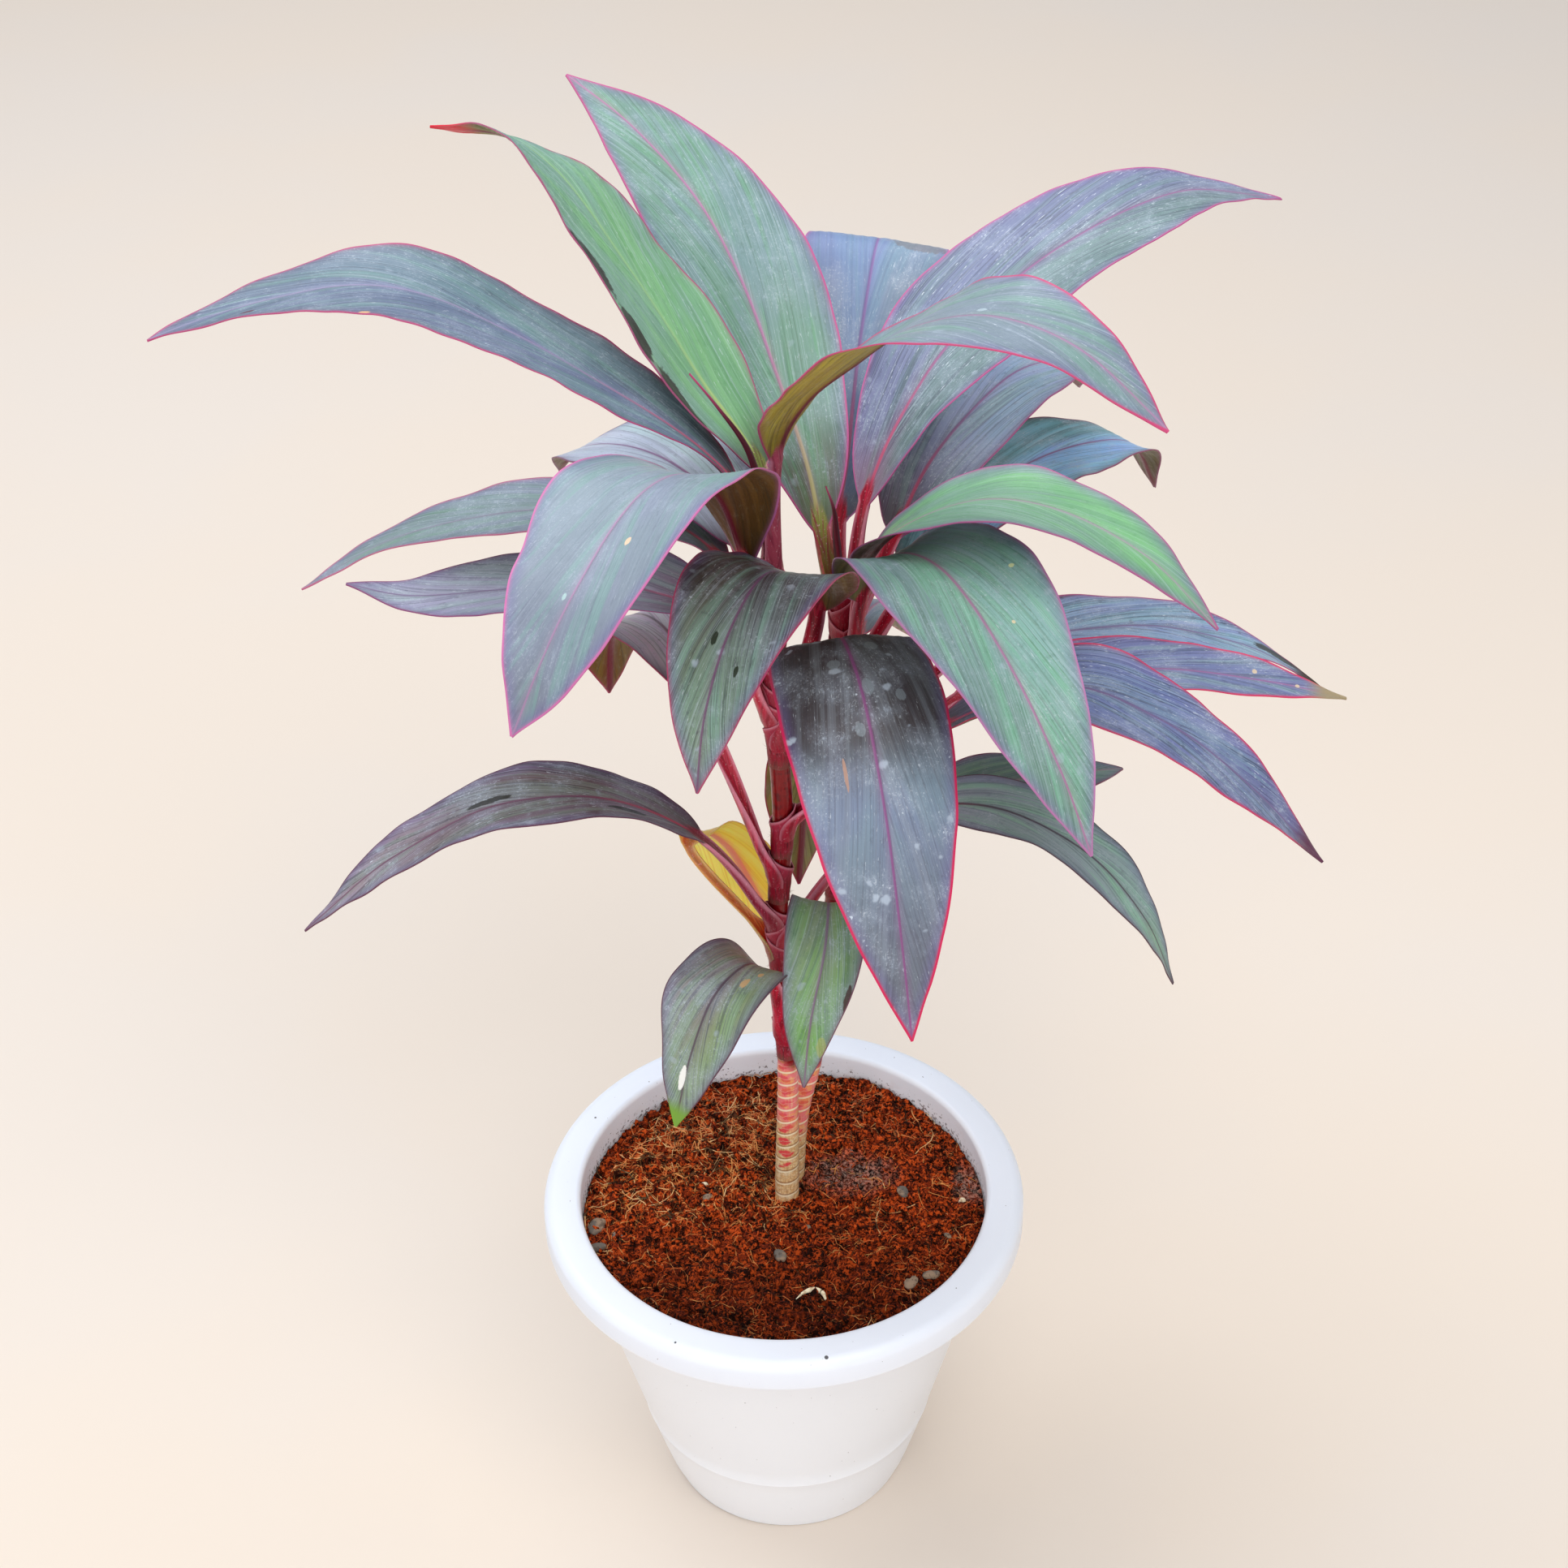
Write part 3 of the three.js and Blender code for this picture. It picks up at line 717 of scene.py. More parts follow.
@dataclass(frozen=True)
class LeafFinish:
    """Colours of one leaf, and how strong its patterns are.

    Colours that are None are left out. Widths are millimetres, and near_reach is the two shares of
    the blade between which the near colour comes in. slot is the record's material slot.
    """

    slot: str = "purple_leaf"
    base: str = "#7b8b9e"
    near: str | None = None
    near_reach: tuple[float, float] = (0.34, 0.06)
    far: str | None = None
    left: str | None = None
    right: str | None = None
    clouds: str = "#8a8ea6"
    streak: str = "#86a6a0"
    streaks: float = 0.55
    lines: float = 0.24
    flush: str = "#6c5c92"
    flushes: float = 0.5
    dark: str = "#39404f"
    darks: float = 0.5
    margin: str = "#c0245c"
    margin_width: float = 0.55
    rib: str = "#8c5a8a"
    rib_width: float = 0.5
    dust: float = 0.5
    dashes: float = 0.45
    spots: float = 0.3
    neck: str = "#4a3c30"
    tip: str | None = None
    under: str = "#5c4a20"
    under_streak: str = "#7d6a30"
    under_rib: str = "#6c0f28"
    under_dark: str = "#352a12"
    stalk: str = "#c41438"
    stalk_deep: str = "#800a22"
    stalk_light: str = "#dc4c68"
    stalk_edge: str = "#f2a0b4"
    roughness: float = 0.36
    sheer: float = 0.0
    marks: tuple[Mark, ...] = ()

    def upper(self, look: Finish) -> Socket:
        """Colour of the upper face, from its ground to its margin.

        Args:
            look: the material in the making.

        Returns:
            The colour.
        """
        _, _, _, vein = look.attribute("vein")
        rim, rib, share, edge = look.attribute("edge")
        from_rib = look.add("Math", {0: rib}, operation="ABSOLUTE")[0]
        thinning = look.add("Math", {0: share, 1: 0.8, 2: 0.6}, operation="MULTIPLY_ADD")[0]
        rib_line = look.add("Math", {0: from_rib, 1: thinning}, operation="MULTIPLY")[0]
        rib_colour = look.coated(self.rib, [Coat(share, 0.35, 0.03, self.stalk_light, 0.8)])
        film = look.clumps(20, 5.0, 0.6)
        dusted = look.add("MapRange", {"Value": film, "From Min": 0.44, "From Max": 0.6})["Result"]
        mottle = look.grain(vein, (2.2, 5.0, 1), 5.0, 0.72)
        speckle = look.clumps(0.9, 3.0, 0.7)
        sides = [(self.left, -1.0, -9.0), (self.right, 1.0, 9.0)]
        coats = [Coat(look.grain(vein, (14, 55, 1), 3.0), 0.42, 0.62, self.clouds, 0.6)]
        coats += [Coat(share, *self.near_reach, self.near, 0.9)] if self.near else []
        coats += [Coat(rib, none_at, full_at, shade, 0.7) for shade, none_at, full_at in sides if shade]
        coats += [Coat(share, 0.45, 0.9, self.far, 0.8)] if self.far else []
        coats += [
            Coat(look.grain(vein, (4.6, 90, 1), 3.0), 0.46, 0.62, self.streak, self.streaks),
            Coat(rim, 7.0, 0.0, self.flush, self.flushes),
            Coat(look.grain(vein, (0.8, 70, 1), 3.0), 0.47, 0.66, self.dark, self.darks * 0.8),
            Coat(mottle, 0.46, 0.32, self.dark, self.darks * 0.6),
            Coat(look.grain(vein, (0.45, 60, 1), 2.0), 0.52, 0.7, Bloom.LINES, self.lines),
            Coat(film, 0.42, 0.7, Bloom.FILM, self.dust * 0.35),
            Coat(mottle, 0.54, 0.66, Bloom.MOTTLE, self.dust * 0.55, dusted),
            Coat(speckle, 0.55, 0.68, Bloom.SPECKLE, self.dust * 0.6, dusted),
            Coat(look.grain(vein, (0.4, 4, 1), 3.0, 0.6), 0.65, 0.7, Bloom.DASHES, self.dashes),
            Coat(look.drops(8), 0.34, 0.2, Bloom.DROPS, self.spots * 0.75),
            Coat(look.drops(3), 0.25, 0.2, Bloom.FINE_DROPS, self.spots * 0.8, dusted),
            Coat(rim, 2.4, 0.2, self.margin, 0.35),
            Coat(share, 0.13, 0.0, self.neck, 0.7),
            Coat(from_rib, 3.0, 0.4, self.rib, 0.2),
            Coat(rib_line, self.rib_width + 0.3, self.rib_width * 0.5, rib_colour, 0.85),
        ]
        for mark in self.marks:
            away = look.away_from(edge, (0, mark.across, mark.share), (ANY_RIM, mark.wide, mark.long))
            frayed = look.add("Math", {0: mottle, 1: 1.1, 2: away}, operation="MULTIPLY_ADD")[0]
            coats.append(Coat(frayed, 1.6, 1.4, mark.colour, mark.strength))
        coats.append(Coat(rim, self.margin_width + 0.2, self.margin_width * 0.6, self.margin, 0.95))
        return look.coated(self.base, coats)

    def under_face(self, look: Finish) -> Socket:
        """Colour of the under face: olive brown, with a raised dark red midrib."""
        rim, rib, _, _ = look.attribute("edge")
        _, _, _, vein = look.attribute("vein")
        from_rib = look.add("Math", {0: rib}, operation="ABSOLUTE")[0]
        return look.coated(self.under, [
            Coat(look.grain(vein, (3, 70, 1), 3.0), 0.45, 0.65, self.under_streak, 0.75),
            Coat(look.grain(vein, (0.8, 40, 1), 2.0), 0.5, 0.68, self.under_dark, 0.5),
            Coat(look.grain(vein, (1.6, 5, 1), 4.0, 0.7), 0.56, 0.7, Bloom.UNDERSIDE, self.dust * 0.5),
            Coat(rim, 3.0, 0.0, self.margin, 0.3),
            Coat(from_rib, 4.0, 1.0, self.under_rib, 0.4),
            Coat(from_rib, 1.8, 0.9, self.under_rib, 0.95),
            Coat(rim, self.margin_width + 0.3, self.margin_width * 0.6, self.margin, 0.95),
        ])

    def petiole(self, look: Finish) -> Socket:
        """Colour of the petiole and sheath: crimson and striped, scurfy at its foot, pale along the edges."""
        rim, _, _, _ = look.attribute("edge")
        _, sheath, _, _ = look.attribute("part")
        _, _, _, vein = look.attribute("vein")
        specks = look.grain(look.place, (0.7 * MM, 0.7 * MM, 1.2 * MM), 3.0, 0.6)
        scurf = look.grain(look.place, (1.1 * MM, 1.1 * MM, 1.6 * MM), 4.0, 0.7)
        return look.coated(self.stalk, [
            Coat(look.grain(vein, (1.1, 26, 1), 3.0), 0.44, 0.62, self.stalk_deep, 0.8),
            Coat(look.grain(vein, (0.7, 16, 1), 3.0), 0.52, 0.68, self.stalk_light, 0.42),
            Coat(specks, 0.62, 0.68, Bloom.SPECKS, 0.6),
            Coat(rim, 1.5, 0.2, self.stalk_edge, 0.6),
            Coat(sheath, 0.3, 0.9, Bloom.SHEATH, 0.6),
            Coat(scurf, 0.54, 0.68, Bloom.SCURF, 0.4, sheath),
        ])

    def material(self, name: str) -> Material:
        """Waxy leaf skin: softly glossy, with fine parallel veins and dust that break up the sheen."""
        look = Finish(f"waxy ti leaf, {name.replace('_', ' ')}")
        stalk, _, under, _ = look.attribute("part")
        _, _, _, vein = look.attribute("vein")
        _, _, share, _ = look.attribute("edge")
        colour = look.coated(self.upper(look), [
            Coat(under, 0.45, 0.55, self.under_face(look)),
            *([Coat(share, 0.88, 0.95, self.tip)] if self.tip else []),
            Coat(stalk, 0.15, 0.85, self.petiole(look)),
        ])
        look.relief(look.grain(vein, (1.0, 14, 1), 4.0, 0.65), 0.6, 0.3)
        mottle = look.grain(vein, (2.2, 5.0, 1), 5.0, 0.72)
        look.vary("Roughness", mottle, self.roughness - 0.08, self.roughness + 0.16)
        through = {"Subsurface_Weight": self.sheer, "Subsurface_Scale": 0.008} if self.sheer else {}
        gloss = {"Specular_IOR_Level": 0.42, "Coat_Weight": 0.08, "Coat_Roughness": 0.25}
        return look.finished(colour, IOR=1.47, **gloss, **through)


@dataclass(frozen=True)
class LeafPlan:
    """One leaf: where it leaves its cane, the line of its midrib, its width and its finish.

    Lengths are millimetres and angles degrees. side is the compass angle where the sheath sits on
    the cane and face the one that the blade looks out to, where these aren't simply towards the
    neck and the tip. roll is how far the blade leans about its midrib at the neck, middle and tip,
    and cups how far its halves turn up from the neck to the tip. slimness is the petiole's share
    of the usual size.
    """

    foot: float
    width: float
    midrib: tuple[Spot, ...]
    finish: LeafFinish
    side: float | None = None
    face: float | None = None
    swell: float = 0.75
    roll: tuple[float, float, float] = (0.0, 0.0, 0.0)
    cups: tuple[float, ...] = (28.0, 12.0, 8.0)
    pleat: float = 0.1
    slimness: float = 1.0
    name: str = ""

    @property
    def cane(self) -> Cane:
        """Cane that carries the leaf."""
        return CANES[self.name.split("_")[0]]

    @property
    def neck(self) -> Vector:
        """Point where the blade starts, in metres."""
        return Vector(self.midrib[0]) * MM

    @property
    def petiole_side(self) -> float:
        """Compass angle at which the petiole leaves the cane."""
        return azimuth(self.cane.at(self.foot), self.neck) if self.side is None else self.side * DEGREE

    @property
    def blade_side(self) -> float:
        """Compass angle that the blade looks out to."""
        return azimuth(self.neck, Vector(self.midrib[-1]) * MM) if self.face is None else self.face * DEGREE


@dataclass
class Section:
    """Cross-section of a leaf at one place along it.

    The centre is in metres, the half width, thickness, rib and wave in millimetres, and the cup,
    which is how far each half turns up, in radians.
    """

    centre: Vector
    right: Vector
    up: Vector
    half: float
    cup: float
    stalk: float
    thick: float
    rib: float
    wave: float
    blade: float
    share: float


@dataclass
class Leaf:
    """Leaf in full detail, on the same lines as its solid.

    Lengths are millimetres. ruffle and dents each give a height, the size of a bump along and
    across the blade and a seed, and columns the fewest and the most that lie across it.
    """

    plan: LeafPlan
    sheath_length: float = 8.0
    sheath_wrap: float = 95.0
    sheath_wall: float = 1.2
    sheath_ease: float = 24.0
    collar_flare: float = 0.4
    facet: float = 23.75
    petiole_half: float = 3.2
    petiole_thick: float = 2.8
    petiole_wrap: float = 60.0
    rib_thick: float = 1.6
    rib_spread: float = 1.7
    tint_length: float = 16.0
    tint_half: float = 2.4
    tint_ease: float = 6.0
    rib_tip: float = 0.25
    rib_fade: float = 0.6
    neck_ease: float = 0.07
    lamina: float = 0.42
    thinnest: float = 0.3
    petiole_edge: float = 0.5
    heel_length: float = 5.0
    heel_thick: float = 0.4
    heel_gap: float = 0.5
    tip_half: float = 0.45
    taper: float = 1.08
    flat_cup: float = 0.02
    wave: float = 1.5
    left_wave: float = 0.7
    waves: float = 2.5
    gap: float = 0.3
    vein_slope: float = 0.16
    groove: float = 0.45
    groove_half: float = 1.0
    groove_fade: float = 0.6
    pleat_pitch: float = 4.2
    pleat_from_rib: float = 4.0
    pleat_from_rim: float = 2.0
    ruffle: tuple[float, float, float, float] = (0.9, 13.0, 30.0, 5.0)
    dents: tuple[float, float, float, float] = (0.7, 34.0, 16.0, 9.0)
    rim_wander: float = 0.035
    rim_pitch: float = 22.0
    rim_apart: float = 3.0
    foot_seed: float = 0.37
    rear_seed: float = 50.0
    row_length: float = 1.9
    column_width: float = 1.7
    columns: tuple[int, int] = (16, 36)
    crowding: float = 1.2
    left_veins: float = 400.0

    def __post_init__(self) -> None:
        """Lays the midrib out from the sheath's foot to the tip."""
        plan, cane = self.plan, self.plan.cane
        self.side = plan.petiole_side
        face = plan.blade_side
        self.turn = math.atan2(math.sin(face - self.side), math.cos(face - self.side))
        self.clear = (cane.radius(plan.foot) + cane.ridge + self.gap) / math.cos(self.facet * DEGREE)
        out = Vector((math.cos(self.side), math.sin(self.side), 0))
        heel = cane.at(plan.foot) / MM + out * self.clear
        collar = cane.at(plan.foot + self.sheath_length) / MM + out * (self.clear + self.collar_flare)
        self.line = SmoothLine([heel, collar, *plan.midrib])
        self.total = self.line.total / MM
        neck_step = 2 * LENGTH_STEPS // (len(self.line.points) - 1)
        self.neck = self.line.lengths[neck_step] / self.line.total
        self.ease = self.sheath_ease / self.total
        self.seed = plan.foot * self.foot_seed + (self.rear_seed if plan.name.startswith("rear") else 0)

    def frame_at(self, share: float, lean: float) -> tuple[Vector, Vector]:
        """Finds the right-hand and upward directions of the blade at a share of its length."""
        tangent = self.line.heading(share)
        heading = self.side + self.turn * smooth(share / self.neck)
        right = Vector((math.sin(heading), -math.cos(heading), 0))
        right = (right - tangent * right.dot(tangent)).normalized()
        up = right.cross(tangent)
        return right * math.cos(lean) + up * math.sin(lean), up * math.cos(lean) - right * math.sin(lean)

    def section(self, share: float) -> Section:
        """Works out the cross-section at a share of the whole length.

        Args:
            share: the place along the leaf, from the sheath's foot at 0 to the tip at 1.

        Returns:
            The section there.
        """
        blade = clamp01((share - self.neck) / (1 - self.neck))
        settled = smooth(share / self.neck)
        right, up = self.frame_at(share, blend(self.plan.roll, blade) * DEGREE * settled)
        rib, wave = 0.0, 0.0
        if share < self.neck:
            wrap = self.sheath_wrap * DEGREE
            narrow = smooth(share / min(self.neck, self.ease))
            opening = (share - self.ease) / (self.neck - self.ease) if self.neck > self.ease else 0.0
            rolled = lerp(wrap, self.petiole_wrap * DEGREE, narrow)
            cup = lerp(rolled, self.plan.cups[0] * DEGREE, smooth(opening))
            half = lerp(self.clear * wrap, self.petiole_half * self.plan.slimness, narrow)
            thick = lerp(self.sheath_wall, self.petiole_thick * self.plan.slimness, narrow)
            thick = lerp(thick, self.rib_thick + self.lamina, smooth(opening))
        else:
            rise = self.plan.swell
            peak = rise / (rise + self.taper)
            full = peak ** rise * (1 - peak) ** self.taper
            swell = (blade ** rise * (1 - blade) ** self.taper) / full
            stem = self.petiole_half * self.plan.slimness
            half = lerp(lerp(stem, self.tip_half, blade), self.plan.width / 2, swell)
            cup = blend(self.plan.cups, blade) * DEGREE
            thick = self.lamina
            rib = lerp(self.rib_thick, self.rib_tip, blade ** self.rib_fade)
            wave = self.wave * swell * math.sin(2 * math.pi * self.waves * blade + self.plan.foot)
        if abs(cup) < self.flat_cup:
            cup = math.copysign(self.flat_cup, cup)
        stalk = 1 - smooth((share - self.neck) / (self.neck_ease * (1 - self.neck)))
        return Section(self.line.along(share), right, up, half, cup, stalk, thick, rib, wave, blade, share)

    def lift(self, section: Section, t: float, across: float) -> float:
        """Adds up the waves and pleats that raise a point of the blade.

        Args:
            section: the cross-section.
            t: the place across it, from -1 to 1.
            across: the same in millimetres.

        Returns:
            The rise in millimetres.
        """
        along = section.share * self.total
        pleats = math.sin(2 * math.pi * (abs(across) - self.vein_slope * along) / self.pleat_pitch)
        pleats *= smooth(abs(across) / self.pleat_from_rib)
        pleats *= smooth((section.half - abs(across)) / self.pleat_from_rim)
        high, long, wide, seed = self.ruffle
        ruffle = high * t * t * ripple(along / long, across / wide, self.seed + seed)
        high, long, wide, seed = self.dents
        dents = high * ripple(along / long, across / wide, self.seed + seed)
        side_wave = section.wave * t * abs(t) * (1 if t > 0 else self.left_wave)
        return side_wave + (1 - section.stalk) * (ruffle + dents + self.plan.pleat * pleats)

    def spot(self, section: Section, t: float) -> tuple[Vector, Vector, float]:
        """Works out one point of the upper face, and the way down through the leaf.

        Args:
            section: the cross-section.
            t: the place across it, from -1 on the left margin to 1 on the right.

        Returns:
            The point, the vector to the under face, and the distance from the midrib in millimetres.
        """
        along = section.share * self.total
        free = 1 - section.stalk
        wander = self.rim_wander * ripple(along / self.rim_pitch, math.copysign(self.rim_apart, t), self.seed)
        half = section.half * (1 + wander * free * abs(t))
        across = half * t
        angle = section.cup * t
        radius = half / section.cup
        normal = section.up * math.cos(angle) - section.right * math.sin(angle)
        groove = self.groove * free * bell(across, self.groove_half) * (1 - self.groove_fade * section.blade)
        start = smooth(along / self.heel_length)
        depth = lerp(lerp(self.petiole_edge, section.thick, 1 - t * t), section.thick, free)
        depth *= lerp(self.heel_thick, 1, start)
        depth += section.rib * bell(across, self.rib_spread) - groove / 2
        rise = radius * (1 - math.cos(angle)) + self.lift(section, t, across)
        shift = section.right * radius * math.sin(angle) + section.up * rise
        shift += normal * ((1 - start) * self.heel_gap - groove)
        return section.centre + shift * MM, normal * -max(depth, self.thinnest) * MM, across

    def tint(self, section: Section, across: float) -> float:
        """Depth of the petiole's colour, which runs out along the midrib past the neck."""
        past = (section.share - self.neck) * self.total
        beside = max(0.0, abs(across) - self.tint_half) / self.tint_half * smooth(past / self.tint_ease + 1)
        return 1 - smooth(max(0.0, past) / self.tint_length + beside)

    def mesh(self) -> BMesh:
        """Shapes a grid to the upper face, thickens it downwards and marks its points.

        Returns:
            The closed mesh, with the attributes that the finish reads.
        """
        fewest, most = self.columns
        columns = 2 * round(max(fewest, min(most, self.plan.width / self.column_width)) / 2)
        rows = round(self.total / self.row_length)
        bm = bmesh.new()
        bmesh.ops.create_grid(bm, x_segments=columns, y_segments=rows, size=1)
        for name in ("vein", "edge", "part", "down"):
            bm.verts.layers.float_vector.new(name)
        vein, edge, part, down = (bm.verts.layers.float_vector[n] for n in ("vein", "edge", "part", "down"))
        sections = [self.section(i / rows) for i in range(rows + 1)]
        for corner in bm.verts:
            place = corner.co.x
            section = sections[round((corner.co.y + 1) / 2 * rows)]
            t = math.copysign(abs(place) ** self.crowding, place)
            corner.co, corner[down], across = self.spot(section, t)
            along = section.share * self.total
            slanted = abs(across) - self.vein_slope * along + (self.left_veins if t < 0 else 0)
            corner[vein] = (slanted, along + self.vein_slope * abs(across), self.seed)
            corner[edge] = (section.half * (1 - abs(t)), across, section.blade)
            corner[part] = (self.tint(section, across), 1 - smooth(section.share / self.ease), 0)
        result = bmesh.ops.extrude_face_region(bm, geom=bm.faces[:], use_keep_orig=True)
        for corner in result["geom"]:
            if isinstance(corner, bmesh.types.BMVert):
                corner.co += corner[down]
                stalk, sheath, _ = corner[part]
                corner[part] = (stalk, sheath, 1)
        bm.verts.layers.float_vector.remove(down)
        return bm

    def build(self) -> None:
        """Makes the leaf and fixes it in place of its solid."""
        plan = self.plan
        material = plan.finish.material(plan.name)
        piece = finished_object(self.mesh(), f"{plan.name}_blade", material, SHEET_CREASE)
        settle(piece, plan.finish.slot, plan.name)


GREEN = LeafFinish(
    slot="green_leaf", base="#78a585", clouds="#86a898", streak="#8fc298", dark="#3c6248",
    rib="#a3909a", under="#71713c", under_streak="#8f8a4c",
)

